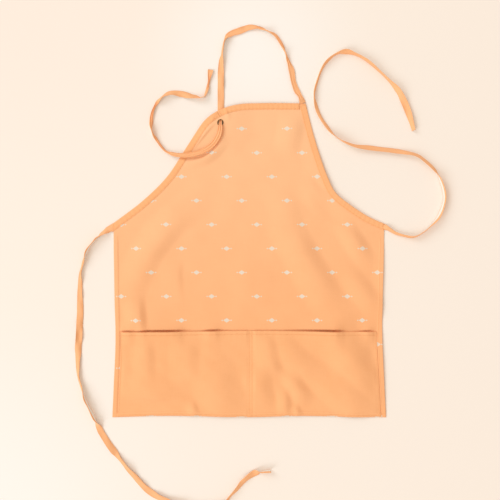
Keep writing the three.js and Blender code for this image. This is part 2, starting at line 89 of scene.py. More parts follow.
def smooth(share: Array) -> Array:
    """Smoothstep, 3 s^2 - 2 s^3, with the share held between 0 and 1."""
    held = np.clip(share, 0.0, 1.0)
    return held * held * (3.0 - 2.0 * held)


def graded(*stretches: tuple[float, float, float]) -> Array:
    """Stations along a line, each stretch with its own even step.

    Args:
        stretches: rows of start, end and largest step, each starting where the last one ends.

    Returns:
        The stations in rising order, each once.
    """
    runs = [np.linspace(a, b, int(np.ceil((b - a) / step)) + 1) for a, b, step in stretches]
    return np.concatenate([runs[0], *(run[1:] for run in runs[1:])])


def walked(points: Array) -> Array:
    """The way gone along a line of points, from 0 at the first one."""
    return np.concatenate([[0.0], np.cumsum(np.linalg.norm(np.diff(points, axis=0), axis=1))])


def nearest(values: Array, wanted: float) -> int:
    """The number of the value that lies nearest to the wanted one."""
    return int(np.argmin(abs(values - wanted)))


def bell(distance: Array, width: float) -> Array:
    """The bell curve exp(-(d / w)^2)."""
    return np.exp(-((distance / width) ** 2))


def short_of(limit: float, distance: Array, ease: float) -> Array:
    """1 short of a limit and 0 beyond it, with a smoothstep of the eased width about the limit."""
    return smooth((limit - distance) / ease + 0.5)


@dataclass(frozen=True)
class PlanCurve:
    """A smooth line through a few points: a centripetal Catmull-Rom spline."""

    points: Array

    def at(self, share: Array) -> Array:
        """Points of the line.

        Between two rows it is the cubic whose end slopes come from the rows on either side,
        weighted by the square roots of the distances between them.

        Args:
            share: places along the line, 0 at its first row and 1 at its last.

        Returns:
            The points, with one more axis than share.
        """
        rows = np.asarray(self.points, float)
        padded = np.vstack([2 * rows[0] - rows[1], rows, 2 * rows[-1] - rows[-2]])
        place = np.clip(share, 0.0, 1.0) * (len(rows) - 1)
        row = np.minimum(place.astype(int), len(rows) - 2)
        w = (place - row)[..., None]
        p0, p1, p2, p3 = (padded[row + k] for k in range(4))
        d0, d1, d2 = (
            np.sqrt(np.linalg.norm(b - a, axis=-1, keepdims=True))
            for a, b in ((p0, p1), (p1, p2), (p2, p3))
        )
        m1 = d1 * ((p1 - p0) / d0 - (p2 - p0) / (d0 + d1) + (p2 - p1) / d1)
        m2 = d1 * ((p2 - p1) / d1 - (p3 - p1) / (d1 + d2) + (p3 - p2) / d2)
        c2 = 3 * (p2 - p1) - 2 * m1 - m2
        c3 = 2 * (p1 - p2) + m1 + m2
        return p1 + w * (m1 + w * (c2 + w * c3))

    def way(self, share: Array) -> Array:
        """Unit directions along the line, from points a little before and after each place.

        Args:
            share: places along the line.

        Returns:
            The directions, with one more axis than share.
        """
        before, after = (self.at(np.clip(share + step, 0, 1)) for step in (-WAY_STEP, WAY_STEP))
        span = after - before
        return span / np.linalg.norm(span, axis=-1, keepdims=True)

    def inset(self, share: Array, distance: Array, side: ClothSide) -> Array:
        """Points moved square to the line, towards the cloth.

        Args:
            share: places along the line.
            distance: how far each point moves.
            side: where the cloth lies.

        Returns:
            The moved points.
        """
        way = self.way(share)
        square = np.stack([way[..., 1], -way[..., 0]], -1) * side.value
        return self.at(share) + square * np.asarray(distance)[..., None]

    def share_where(self, axis: int, value: Array, start: float = 0.0, stop: float = 1.0) -> Array:
        """Places where one coordinate, which only rises or only falls, reaches a value.

        Args:
            axis: the coordinate, 0 or 1.
            value: the values to reach.
            start: where the stretch that is searched starts.
            stop: where it stops.

        Returns:
            Places along the line, of the values' shape.
        """
        shares = np.linspace(start, stop, SEARCH_POINTS)
        along = self.at(shares)[:, axis]
        order = 1 if along[-1] > along[0] else -1
        return np.interp(value, along[::order], shares[::order])

    def across(self, value: Array) -> Array:
        """The second coordinate where the first one reaches a value."""
        return self.at(self.share_where(0, value))[..., 1]

    def evenly(self, step: float, start: float = 0.0, stop: float = 1.0) -> Array:
        """Places that are evenly spaced along the line.

        Args:
            step: about how far apart they are.
            start: the first place.
            stop: the last place.

        Returns:
            Places along the line.
        """
        shares = np.linspace(start, stop, SPACING_POINTS)
        gone = walked(self.at(shares))
        count = max(2, int(round(gone[-1] / step)) + 1)
        return np.interp(np.linspace(0, gone[-1], count), gone, shares)


@dataclass(frozen=True)
class Fold:
    """A soft ridge that bends from its start past its middle to its end.

    left and right are its reach to each side of the way along it, so that one flank can be steep.
    """

    start: Place
    middle: Place
    end: Place
    left: float
    right: float
    height: float
    steps: int = 32
    taper: float = 1.5

    def at(self, x: Array, y: Array) -> Array:
        """Height of the ridge over places in plan.

        The ridge line is a quadratic Bezier. The height falls off to each side as (1 - s^2)^2, where
        s is the distance over the reach on that side, and towards both ends as a power of a sine.

        Args:
            x: places along X.
            y: places along Y, of the same shape.

        Returns:
            Heights, of the same shape.
        """
        start, middle, end = (np.array(p) for p in (self.start, self.middle, self.end))
        bend = 2 * middle - (start + end) / 2
        t = np.linspace(0, 1, self.steps + 1)[:, None]
        ridge = (1 - t) ** 2 * start + 2 * t * (1 - t) * bend + t**2 * end
        foot, run = ridge[:-1], np.diff(ridge, axis=0)
        px, py = np.ravel(x)[:, None] - foot[:, 0], np.ravel(y)[:, None] - foot[:, 1]
        along = np.clip((px * run[:, 0] + py * run[:, 1]) / (run**2).sum(1), 0, 1)
        away = np.hypot(px - along * run[:, 0], py - along * run[:, 1])
        near = away.argmin(1)
        pick = np.arange(len(near)), near
        share = (near + along[pick]) / self.steps
        on_left = run[near, 0] * py[pick] > run[near, 1] * px[pick]
        s = away[pick] / np.where(on_left, self.left, self.right)
        height = self.height * np.clip(1 - s**2, 0, None) ** 2 * np.sin(np.pi * share) ** self.taper
        return height.reshape(np.shape(x))


def fold_height(folds: Sequence[Fold], x: Array, y: Array) -> Array:
    """The heights of all the folds together over places in plan."""
    return sum((fold.at(x, y) for fold in folds), np.zeros(np.shape(x)))


@dataclass(frozen=True)
class Ripple:
    """Slow unevenness: a sum of waves whose lengths, directions and phases are drawn once."""

    height: float
    shortest: float
    longest: float
    seed: int
    waves: int = 12

    def at(self, x: Array, y: Array) -> Array:
        """Height over places in plan: the waves' sines added and scaled to the height.

        Args:
            x: places along X.
            y: places along Y, of the same shape.

        Returns:
            Heights, of the same shape.
        """
        draw = np.random.default_rng(self.seed)
        turn, phase = draw.uniform(0, 2 * np.pi, (2, self.waves))
        wave = 2 * np.pi / draw.uniform(self.shortest, self.longest, self.waves)
        along = x[..., None] * (wave * np.cos(turn)) + y[..., None] * (wave * np.sin(turn))
        return self.height * np.sin(along + phase).sum(-1) / np.sqrt(self.waves / 2)


@dataclass(frozen=True)
class Pucker:
    """Small gathers along a seam, drawn in by its stitches."""

    height: float
    length: float
    wander: float
    pace: float

    def at(self, along: Array) -> Array:
        """Height along the seam: a sine whose phase wanders with a second sine."""
        phase = self.wander * np.sin(along * self.pace)
        return self.height * np.sin(along * 2 * np.pi / self.length + phase)


# Meshes


def mesh_object(
    name: str,
    points: Array,
    faces: Sequence[Array],
    marks: dict[str, Array] | None = None,
    uv: Array | None = None,
) -> bpy.types.Object:
    """Puts points and faces into a new smooth-shaded mesh object at the origin.

    Args:
        name: the piece's name.
        points: places in metres, one row each.
        faces: arrays of corner numbers, a row for each face.
        marks: numbers kept with the points for the material, by name.
        uv: the surface coordinates of the points.

    Returns:
        The object, linked to the scene.
    """
    mesh = bpy.data.meshes.new(name)
    corners = np.concatenate([part.ravel() for part in faces]).astype(np.int32)
    sizes = np.concatenate([np.full(len(part), part.shape[1]) for part in faces])
    starts = np.concatenate([[0], np.cumsum(sizes)[:-1]]).astype(np.int32)
    mesh.vertices.add(len(points))
    mesh.vertices.foreach_set("co", np.ascontiguousarray(points, np.float32).ravel())
    mesh.loops.add(len(corners))
    mesh.loops.foreach_set("vertex_index", corners)
    mesh.polygons.add(len(sizes))
    mesh.polygons.foreach_set("loop_start", starts)
    mesh.polygons.foreach_set("use_smooth", np.ones(len(sizes), bool))
    for mark, numbers in (marks or {}).items():
        data = mesh.attributes.new(mark, "FLOAT", "POINT").data
        data.foreach_set("value", np.ascontiguousarray(numbers, np.float32).ravel())
    if uv is not None:
        layer = mesh.uv_layers.new(name="UVMap")
        layer.data.foreach_set("uv", np.ascontiguousarray(uv[corners], np.float32).ravel())
    mesh.update(calc_edges=True)
    mesh.validate()
    piece = bpy.data.objects.new(name, mesh)
    bpy.context.scene.collection.objects.link(piece)
    return piece


def cloth_object(
    name: str,
    face: Array,
    back: Array,
    keep: Array | None = None,
    marks: dict[str, Array] | None = None,
    uv: Array | None = None,
) -> bpy.types.Object:
    """A layer of cloth from two grids, its face and its back, closed all round.

    Every square of the grid that is kept has a face and a back, and a wall joins the two wherever a
    kept square meets the outside or a hole. Columns run to the right of rows, seen from the face.

    Args:
        name: the piece's name.
        face: grid of points, rows by columns by three.
        back: grid of the same shape.
        keep: which squares are kept, all if left out.
        marks: grids of numbers for the material, by name, the same for face and back.
        uv: grid of surface coordinates, the same for face and back.

    Returns:
        The object. Its mark "front" is 1 on the face and 0 on the back.
    """
    rows, columns = face.shape[:2]
    number = np.arange(rows * columns).reshape(rows, columns)
    kept = np.ones((rows - 1, columns - 1), bool) if keep is None else keep
    a, b, c, d = number[:-1, :-1], number[:-1, 1:], number[1:, 1:], number[1:, :-1]
    squares = np.stack([a, b, c, d], -1)[kept]
    below = rows * columns
    edged = np.pad(kept, 1)
    upright = edged[1:-1, 1:].astype(int) - edged[1:-1, :-1]
    level = edged[1:, 1:-1].astype(int) - edged[:-1, 1:-1]

    def wall(first: Array, second: Array) -> Array:
        """Squares from the face down to the back along edges that run from first to second."""
        return np.stack([first, second, second + below, first + below], -1)

    low, high, near, far = number[:-1], number[1:], number[:, :-1], number[:, 1:]
    faces = np.concatenate([
        squares,
        squares[:, ::-1] + below,
        wall(low[upright > 0], high[upright > 0]),
        wall(high[upright < 0], low[upright < 0]),
        wall(far[level > 0], near[level > 0]),
        wall(near[level < 0], far[level < 0]),
    ])
    used, faces = np.unique(faces, return_inverse=True)
    faces = faces.reshape(-1, 4)
    points = np.concatenate([face.reshape(-1, 3), back.reshape(-1, 3)])[used]
    both = {
        mark: np.tile(np.broadcast_to(grid, (rows, columns)).ravel(), 2)[used]
        for mark, grid in (marks or {}).items()
    }
    both["front"] = (used < below).astype(float)
    plan = None if uv is None else np.tile(uv.reshape(-1, 2), (2, 1))[used]
    return mesh_object(name, points, [faces], both, plan)


@dataclass
class SeamLine:
    """A row of stitches along a line of points on a surface, each with the way out of it."""

    points: Array
    out: Array

    @classmethod
    def laid(cls, points: Array) -> "SeamLine":
        """A line on cloth that lies face up."""
        return cls(points, np.broadcast_to([0.0, 0.0, 1.0], points.shape))

    @classmethod
    def beneath(cls, points: Array, sunk: float = 0.0002) -> "SeamLine":
        """A line on the underside of cloth that lies face up, sunk into it."""
        return cls(points + (0, 0, sunk), np.broadcast_to([0.0, 0.0, -1.0], points.shape))


@dataclass
class Stitching:
    """Lockstitch thread: short rounded lengths laid end to end with a small gap."""

    length: float = 0.0026
    pitch: float = 0.0033
    radius: float = 0.00032
    sides: int = 5
    rings: tuple[float, ...] = (-0.5, -0.3, 0.3, 0.5)
    girths: tuple[float, ...] = (0.35, 1.0, 1.0, 0.35)

    def template(self) -> tuple[Array, list[Array]]:
        """One stitch along X: four rings, the end ones drawn in, with its caps.

        Returns:
            Points whose X is a share of the length and Y and Z in metres, and its faces.
        """
        x = np.array(self.rings)
        girth = self.radius * np.array(self.girths)[:, None]
        turn = np.arange(self.sides) * 2 * np.pi / self.sides
        ring = np.stack(np.broadcast_arrays(x[:, None], girth * np.cos(turn), girth * np.sin(turn)), -1)
        number = np.arange(len(x) * self.sides).reshape(len(x), self.sides)
        after = np.roll(number, -1, 1)
        walls = np.stack([number[:-1], after[:-1], after[1:], number[1:]], -1).reshape(-1, 4)
        return ring.reshape(-1, 3), [walls, np.stack([number[0, ::-1], number[-1]])]

    def build(self, name: str, lines: Sequence[SeamLine]) -> bpy.types.Object:
        """All the stitches of some lines as one mesh.

        Each stitch is the template set along the chord between two points of its line.

        Args:
            name: the piece's name.
            lines: the lines to sew.

        Returns:
            The object.
        """
        heads, tails, outs = [], [], []
        for line in lines:
            gone = walked(line.points)
            first = np.arange(self.pitch / 2, gone[-1] - self.length, self.pitch)
            for places, store in ((first, heads), (first + self.length, tails)):
                store.append(np.stack([np.interp(places, gone, axis) for axis in line.points.T], -1))
            outs.append(np.stack([np.interp(first + self.length / 2, gone, axis) for axis in line.out.T], -1))
        head, tail, out = (np.concatenate(part) for part in (heads, tails, outs))
        chord = tail - head
        side = np.cross(out, chord)
        side /= np.linalg.norm(side, axis=1, keepdims=True)
        up = np.cross(chord, side)
        up /= np.linalg.norm(up, axis=1, keepdims=True)
        shape, faces = self.template()
        points = (
            ((head + tail) / 2)[:, None]
            + shape[:, :1] * chord[:, None]
            + shape[:, 1:2] * side[:, None]
            + shape[:, 2:] * up[:, None]
        )
        shift = (np.arange(len(head)) * len(shape))[:, None, None]
        every = [(part[None] + shift).reshape(-1, part.shape[1]) for part in faces]
        return mesh_object(name, points.reshape(-1, 3), every)


# Shader values


class Value:
    """A shader value: a socket whose arithmetic adds Math nodes to its graph."""

    def __init__(self, graph: "Graph", socket: bpy.types.NodeSocket) -> None:
        """Keeps the graph and the socket."""
        self.graph = graph
        self.socket = socket

    def math(self, operation: str, *others: "Value | float", first: bool = True) -> "Value":
        """A Math node on this value and others.

        Args:
            operation: the Math node's operation.
            others: its other operands.
            first: whether this value comes before the others.

        Returns:
            The node's result.
        """
        terms = (self, *others) if first else (*others, self)
        return self.graph.node("ShaderNodeMath", {"operation": operation}, dict(enumerate(terms)))

    def __add__(self, other: "Value | float") -> "Value":
        """Sum."""
        return self.math("ADD", other)

    def __sub__(self, other: "Value | float") -> "Value":
        """Difference."""
        return self.math("SUBTRACT", other)

    def __rsub__(self, other: float) -> "Value":
        """Difference from a number."""
        return self.math("SUBTRACT", other, first=False)

    def __mul__(self, other: "Value | float") -> "Value":
        """Product."""
        return self.math("MULTIPLY", other)

    def __truediv__(self, other: "Value | float") -> "Value":
        """Quotient."""
        return self.math("DIVIDE", other)

    __radd__ = __add__

    def between(self, low: float, high: float) -> "Value":
        """A smooth step from 0 at low to 1 at high."""
        ends = {"Value": self, "From Min": low, "From Max": high}
        return self.graph.node("ShaderNodeMapRange", {"interpolation_type": "SMOOTHSTEP"}, ends)


class Graph:
    """A material's nodes, ended by one Principled shader."""

    def __init__(self, name: str) -> None:
        """Makes a material with an empty node tree.

        Args:
            name: the material's name.
        """
        self.material = bpy.data.materials.new(name)
        self.material.use_nodes = True
        self.tree = self.material.node_tree
        self.tree.nodes.clear()

    def node(
        self,
        kind: str,
        settings: dict[str, object] | None = None,
        inputs: dict[int | str, object] | None = None,
        output: int | str = 0,
    ) -> Value:
        """Adds a node.

        Args:
            kind: the node's type.
            settings: its own settings, set before its sockets.
            inputs: values or links for its sockets, by name or number.
            output: the socket that is wanted.

        Returns:
            That output.
        """
        made = self.tree.nodes.new(kind)
        for key, setting in (settings or {}).items():
            setattr(made, key, setting)
        for key, given in (inputs or {}).items():
            if isinstance(given, Value):
                self.tree.links.new(given.socket, made.inputs[key])
            else:
                made.inputs[key].default_value = given
        return Value(self, made.outputs[output])

    def axes(self, vector: Value) -> tuple[Value, Value, Value]:
        """The three numbers of a vector."""
        split = self.node("ShaderNodeSeparateXYZ", None, {0: vector})
        return tuple(Value(self, socket) for socket in split.socket.node.outputs)

    def joined(self, x: Value, y: Value, z: float) -> Value:
        """A vector of three numbers."""
        return self.node("ShaderNodeCombineXYZ", None, {0: x, 1: y, 2: z})

    def mark(self, name: str) -> Value:
        """A number kept with the piece's points."""
        return self.node("ShaderNodeAttribute", {"attribute_name": name}, None, "Fac")

    def noise(self, place: Value, scale: float, detail: float) -> Value:
        """Cloudy noise, about 0.5 in the middle."""
        return self.node("ShaderNodeTexNoise", None, {"Vector": place, "Scale": scale, "Detail": detail})

    def mix(self, share: Value | float, first: Value | Colour, second: Value | Colour) -> Value:
        """A colour between two, by a share."""
        ends = [end if isinstance(end, Value) else (*end, 1.0) for end in (first, second)]
        return self.node("ShaderNodeMix", {"data_type": "RGBA"}, {0: share, 6: ends[0], 7: ends[1]}, 2)

    def bump(self, height: Value, depth: float, strength: float) -> Value:
        """A bent normal from a height of 0 to 1 over a depth in metres."""
        return self.node("ShaderNodeBump", None, {"Strength": strength, "Distance": depth, "Height": height})

    def weave(self, along: Value, across: Value, pitch: float, ease: float = 0.35) -> Value:
        """Height of a plain weave.

        Two sets of ridges, each the absolute sine over its thread's width, take turns on top by the
        sign of the product of the two threads' sines.

        Args:
            along: the way along one set of threads, in metres.
            across: the way along the other.
            pitch: from thread to thread, in metres.
            ease: how softly one set of threads dips under the other.

        Returns:
            Heights from 0 to 1.
        """
        turn = float(np.pi / pitch)
        first, second = (axis * turn for axis in (along, across))
        on_top = (first.math("SINE") * second.math("SINE")).between(-ease, ease)
        warp = (first * 0.5).math("SINE").math("ABSOLUTE")
        weft = (second * 0.5).math("SINE").math("ABSOLUTE")
        return warp * on_top + weft * (1.0 - on_top)

    def finish(self, inputs: dict[str, object]) -> bpy.types.Material:
        """Ends the graph.

        Args:
            inputs: values or links for the Principled shader's sockets.

        Returns:
            The material.
        """
        shader = self.node("ShaderNodeBsdfPrincipled", None, inputs)
        end = self.tree.nodes.new("ShaderNodeOutputMaterial")
        self.tree.links.new(shader.socket, end.inputs["Surface"])
        return self.material


# Finishes


@dataclass(frozen=True)
class ClothFinish:
    """Matt cotton canvas, dyed on its face and left pale on its back.

    The weave follows the piece's own surface coordinates where it is a tape, and the part's plan where
    it is a panel. Marks on the piece say where its face, its turned hems and its seams are.
    """

    name: str
    dyed: Colour
    deep: Colour
    pale: Colour = (0.87, 0.82, 0.75)
    pitch: float = 0.0009
    bump: float = 0.35
    follows: str = "Object"
    design: Print = Print.PLAIN
    ink: Colour = (0.79, 0.71, 0.6)
    # painted light: a paler colour mixed over the printed face towards the bib, with its lean and its extent
    painted_light: Colour = (0.985, 0.555, 0.3)
    painted_light_lean: float = 0.15
    painted_light_from: float = -0.3
    painted_light_to: float = 0.42
    painted_light_deep: float = 0.87
    pale_deep: float = 0.9
    repeat: float = 0.101
    row: float = 0.0535
    half_width: float = 0.0074
    half_height: float = 0.0052
    dot_at: float = 0.0099
    dot: float = 0.0015
    ink_edge: float = 0.0003
    ink_slope: float = 0.82
    ink_cover: float = 0.96
    slub_along: float = 45.0
    slub_across: float = 900.0
    cloud_scale: float = 14.0
    cloud_tone: float = 0.5
    slub_tone: float = 0.55
    weave_tone: float = 0.22
    # how far the seam mark darkens the colour, part dirt and part painted shade
    seam_dirt_and_shade_tone: float = 0.3
    relief: float = 0.00025

    def lozenges(self, graph: Graph, x: Value, y: Value) -> Value:
        """Where the design is printed: rows of lozenges, each row a third of a repeat further on.

        A lozenge is where the shares of its half width and half height add up to less than one, and a
        round dot lies at each side of it. An edge of a fraction of a millimetre softens the ink.

        Args:
            graph: the material's graph.
            x: places along X, in metres.
            y: places along Y, in metres.

        Returns:
            1 in the ink and 0 outside.
        """
        line = y / self.row
        lx = ((x / self.repeat + line.math("FLOOR") / 3.0).math("FRACT") - 0.5) * self.repeat
        ly = (line.math("FRACT") - 0.5) * self.row
        side = lx.math("ABSOLUTE")
        shares = side / self.half_width + ly.math("ABSOLUTE") / self.half_height
        lozenge = (shares - 1.0) * (self.half_height * self.ink_slope)
        out = side - self.dot_at
        round_dot = (out * out + ly * ly).math("SQRT") - self.dot
        return 1.0 - lozenge.math("MINIMUM", round_dot).between(-self.ink_edge, self.ink_edge)

    def material(self) -> bpy.types.Material:
        """The finish as a material.

        The colour drifts between the dye and its deep shade with slow clouds, with slubs along both
        sets of threads and with the weave, and is darkest in the seams, part dirt and part painted shade.
        Printed cloth carries painted light: it is paler towards the bib and a little towards the left.

        Returns:
            The material.
        """
        graph = Graph(self.name)
        place = graph.node("ShaderNodeTexCoord", None, None, self.follows)
        x, y, _ = graph.axes(place)
        weave = graph.weave(x, y, self.pitch)
        clouds = graph.noise(place, self.cloud_scale, 3.0)
        slub_x = graph.noise(graph.joined(x * self.slub_along, y * self.slub_across, 0.3), 1.0, 1.0)
        slub_y = graph.noise(graph.joined(x * self.slub_across, y * self.slub_along, 0.7), 1.0, 1.0)
        slubs = (slub_x + slub_y - 1.0) * 0.5
        shade = (clouds - 0.5) * self.cloud_tone + slubs * self.slub_tone + (0.6 - weave) * self.weave_tone
        # part dirt, part painted shade: the seam mark darkens the colour along the seam grooves
        shade = shade + graph.mark("seam") * self.seam_dirt_and_shade_tone
        shaded = (shade + 0.3).between(0.0, 1.2)
        face = graph.mix(shaded, self.dyed, self.deep)
        front = graph.mark("front")
        if self.design is Print.LOZENGES:
            # painted light: the printed face turns paler towards the bib and a little towards the left
            paler = graph.mix(shaded, self.painted_light, tuple(self.painted_light_deep * part for part in self.painted_light))
            fade = (y - x * self.painted_light_lean).between(self.painted_light_from, self.painted_light_to)
            face = graph.mix(fade, face, paler)
            worn = self.ink_cover - (0.5 - weave).math("MAXIMUM", 0.0) * 0.35
            face = graph.mix(self.lozenges(graph, x, y) * worn * front, face, self.ink)
        dyed_share = front.math("MAXIMUM", graph.mark("hem"))
        back = graph.mix(shaded, self.pale, tuple(self.pale_deep * part for part in self.pale))
        height = weave * 0.7 + slubs * 0.6
        return graph.finish({
            "Base Color": graph.mix(dyed_share, back, face),
            "Roughness": 0.93 - weave * 0.06,
            "Specular IOR Level": 0.2,
            "Sheen Weight": 0.12,
            "Sheen Roughness": 0.6,
            "Normal": graph.bump(height, self.relief, self.bump),
        })


@dataclass(frozen=True)
class ThreadFinish:
    """Twisted cotton sewing thread, a little lighter than the cloth it holds."""

    name: str = "sewing_thread"
    colour: Colour = (0.95, 0.5, 0.25)
    deep: Colour = (0.8, 0.36, 0.13)

    def material(self) -> bpy.types.Material:
        """The finish as a material, its colour and bump varying with fine noise.

        Returns:
            The material.
        """
        graph = Graph(self.name)
        place = graph.node("ShaderNodeTexCoord", None, None, "Object")
        grain = graph.noise(place, 2200.0, 2.0)
        return graph.finish({
            "Base Color": graph.mix(grain.between(0.3, 0.75), self.colour, self.deep),
            "Roughness": 0.7 + grain * 0.2,
            "Specular IOR Level": 0.3,
            "Normal": graph.bump(grain, 0.0001, 0.4),
        })


@dataclass(frozen=True)
class BrassFinish:
    """Dark aged brass, rubbed brighter in patches."""

    name: str = "aged_brass"
    tarnished: Colour = (0.14, 0.085, 0.035)
    rubbed: Colour = (0.52, 0.33, 0.14)

    def material(self) -> bpy.types.Material:
        """The finish as a material: tarnish in clouds with fine scratches in the bump.

        Returns:
            The material.
        """
        graph = Graph(self.name)
        place = graph.node("ShaderNodeTexCoord", None, None, "Object")
        clouds = graph.noise(place, 420.0, 3.0)
        fine = graph.noise(place, 3000.0, 2.0)
        return graph.finish({
            "Base Color": graph.mix(clouds.between(0.42, 0.75), self.tarnished, self.rubbed),
            "Metallic": 1.0,
            "Roughness": 0.52 - clouds.between(0.4, 0.7) * 0.2,
            "Normal": graph.bump(fine, 0.00005, 0.3),
        })


@dataclass(frozen=True)
class FloorFinish:
    """A pale studio surface with painted light and painted shade in a few wide soft spots."""

    name: str = "studio_floor"
    colour: Colour = (0.93, 0.856, 0.785)
    # pale and shaded are the painted light and painted shade colours laid in the spots below
    pale: Colour = (0.94, 0.912, 0.88)
    shaded: Colour = (0.915, 0.82, 0.745)
    painted_light_spots: Sequence[Spot] = ((-0.6, -0.62, 0.62), (0.015, 0.47, 0.3))
    painted_shade_spots: Sequence[Spot] = ((-0.6, 0.62, 0.75),)

    def spots(self, graph: Graph, places: Sequence[Spot]) -> Value:
        """How near the floor is to the nearest of some places.

        Args:
            graph: the material's graph.
            places: rows of x, y and reach.

        Returns:
            1 at a place, falling smoothly to 0 at its reach.
        """
        x, y, _ = graph.axes(graph.node("ShaderNodeTexCoord", None, None, "Object"))
        nearness = [
            1.0 - (((x - px) * (x - px) + (y - py) * (y - py)).math("SQRT") / reach).between(0.0, 1.0)
            for px, py, reach in places
        ]
        return reduce(lambda one, other: one.math("MAXIMUM", other), nearness)

    def material(self) -> bpy.types.Material:
        """The finish as a material, with painted light in a few wide soft spots and painted shade in one.

        Returns:
            The material.
        """
        graph = Graph(self.name)
        # painted shade in one spot and painted light in others, laid into the floor's colour
        even = graph.mix(self.spots(graph, self.painted_shade_spots), self.colour, self.shaded)
        return graph.finish({
            "Base Color": graph.mix(self.spots(graph, self.painted_light_spots), even, self.pale),
            "Roughness": 0.95,
            "Specular IOR Level": 0.1,
        })


# Studio


@dataclass(frozen=True)
class SoftBox:
    """A large soft light that faces the middle of the apron."""

    name: str
    place: tuple[float, float, float]
    power: float
    size: float = 5.6
    colour: Colour = (0.88, 0.995, 1.07)

    def build(self) -> None:
        """Makes the light, its own Z turned away from the apron."""
        lamp = bpy.data.lights.new(self.name, "AREA")
        lamp.shape = "SQUARE"
        lamp.size = self.size
        lamp.energy = self.power
        lamp.color = self.colour
        box = bpy.data.objects.new(self.name, lamp)
        box.location = self.place
        box.rotation_euler = Vector(self.place).to_track_quat("Z", "Y").to_euler()
        bpy.context.scene.collection.objects.link(box)


@dataclass
class Studio:
    """The camera straight above the apron, two soft lights at its left, and a pale floor."""

    aim: Place = (0.0017, 0.0234)
    height: float = 1.3
    seen: float = 1.1189
    sensor: float = 36.0
    floor_size: float = 8.0
    floor_drop: float = 0.0003
    fill: Colour = (1.06, 0.909, 0.77)
    fill_strength: float = 0.715
    keys: tuple[SoftBox, ...] = (
        SoftBox("upper_key", (-7.0, 5.5, 6.2), 375.0),
        SoftBox("lower_key", (-7.0, -5.5, 6.2), 425.0),
    )

    def build(self) -> None:
        """Makes the camera, the lights, the surrounding fill and the floor."""
        scene = bpy.context.scene
        scene.view_settings.view_transform = "Standard"
        lens = bpy.data.cameras.new("camera")
        lens.sensor_width = self.sensor
        lens.lens = self.sensor * self.height / self.seen
        camera = bpy.data.objects.new("camera", lens)
        camera.location = (*self.aim, self.height)
        scene.collection.objects.link(camera)
        scene.camera = camera

        for key in self.keys:
            key.build()

        world = bpy.data.worlds.new("fill")
        world.use_nodes = True
        background = world.node_tree.nodes["Background"]
        background.inputs["Color"].default_value = (*self.fill, 1.0)
        background.inputs["Strength"].default_value = self.fill_strength
        scene.world = world

        half = self.floor_size / 2
        corners = np.array([(-half, -half), (half, -half), (half, half), (-half, half)])
        level = np.c_[corners, np.full(len(corners), -self.floor_drop)]
        floor = mesh_object("floor", level, [np.arange(len(corners))[None]])
        floor.data.materials.append(FloorFinish().material())


# The part

MM = 0.001

SKIRT_SIDES = MM * np.array([
    (-350.5, -306, 306), (-279, -303, 302), (-180, -299, 297.5), (-88, -301, 298), (20, -303, 301),
])
LOWER_EDGE = MM * np.array([
    (-306, -350.5), (-180, -347), (0, -349.5), (115, -347), (230, -349.5), (306, -350.5),
])
BIB_EDGE = MM * np.array([
    (-304, 83), (-237.2, 134), (-183, 188.2), (-136, 259.8), (-98.2, 313.8),
    (-71.6, 333), (-49.8, 342), (-18, 349), (29, 351), (126, 351),
])
BIB_CORNER_ROW = 5
BIB_CORNER = BIB_CORNER_ROW / (len(BIB_EDGE) - 1)
RIGHT_ARMHOLE = MM * np.array([
    (302, 82), (267.4, 97.4), (224.3, 124.9), (191.9, 152.4),
    (173.8, 188.6), (153.8, 246.6), (138.8, 299.7), (126, 351),
])
TOP_BINDING_END = 112.8 * MM
LEFT_WAIST = -306.7 * MM
RIGHT_WAIST = 301.3 * MM

# The pocket's mouth in plan, and how far it stands open along X
MOUTH = PlanCurve(MM * np.array([(-310, -160), (-140, -158.5), (0, -156.8), (150, -158), (310, -159.4)]))
OPENING = PlanCurve(MM * np.array([
    (-320, 0), (-291, 0), (-284, 4), (-268, 5), (-255, 2), (-246, 3), (-232, 7), (-205, 9.5), (-171, 9),
    (-156, 6), (-144, 2), (-115, 0.9), (-103, 2.5), (-90, 6), (-76, 6.5), (-62, 3), (-30, 0.9),
    (-0.3, 0.1), (6.5, 0.1), (30, 0.4), (70, 1.3), (105, 3), (140, 6), (170, 10), (190, 11),
    (203, 6), (214, 1.5), (240, 1), (252, 3), (262, 5), (272, 3.5), (283, 0), (320, 0),
]))

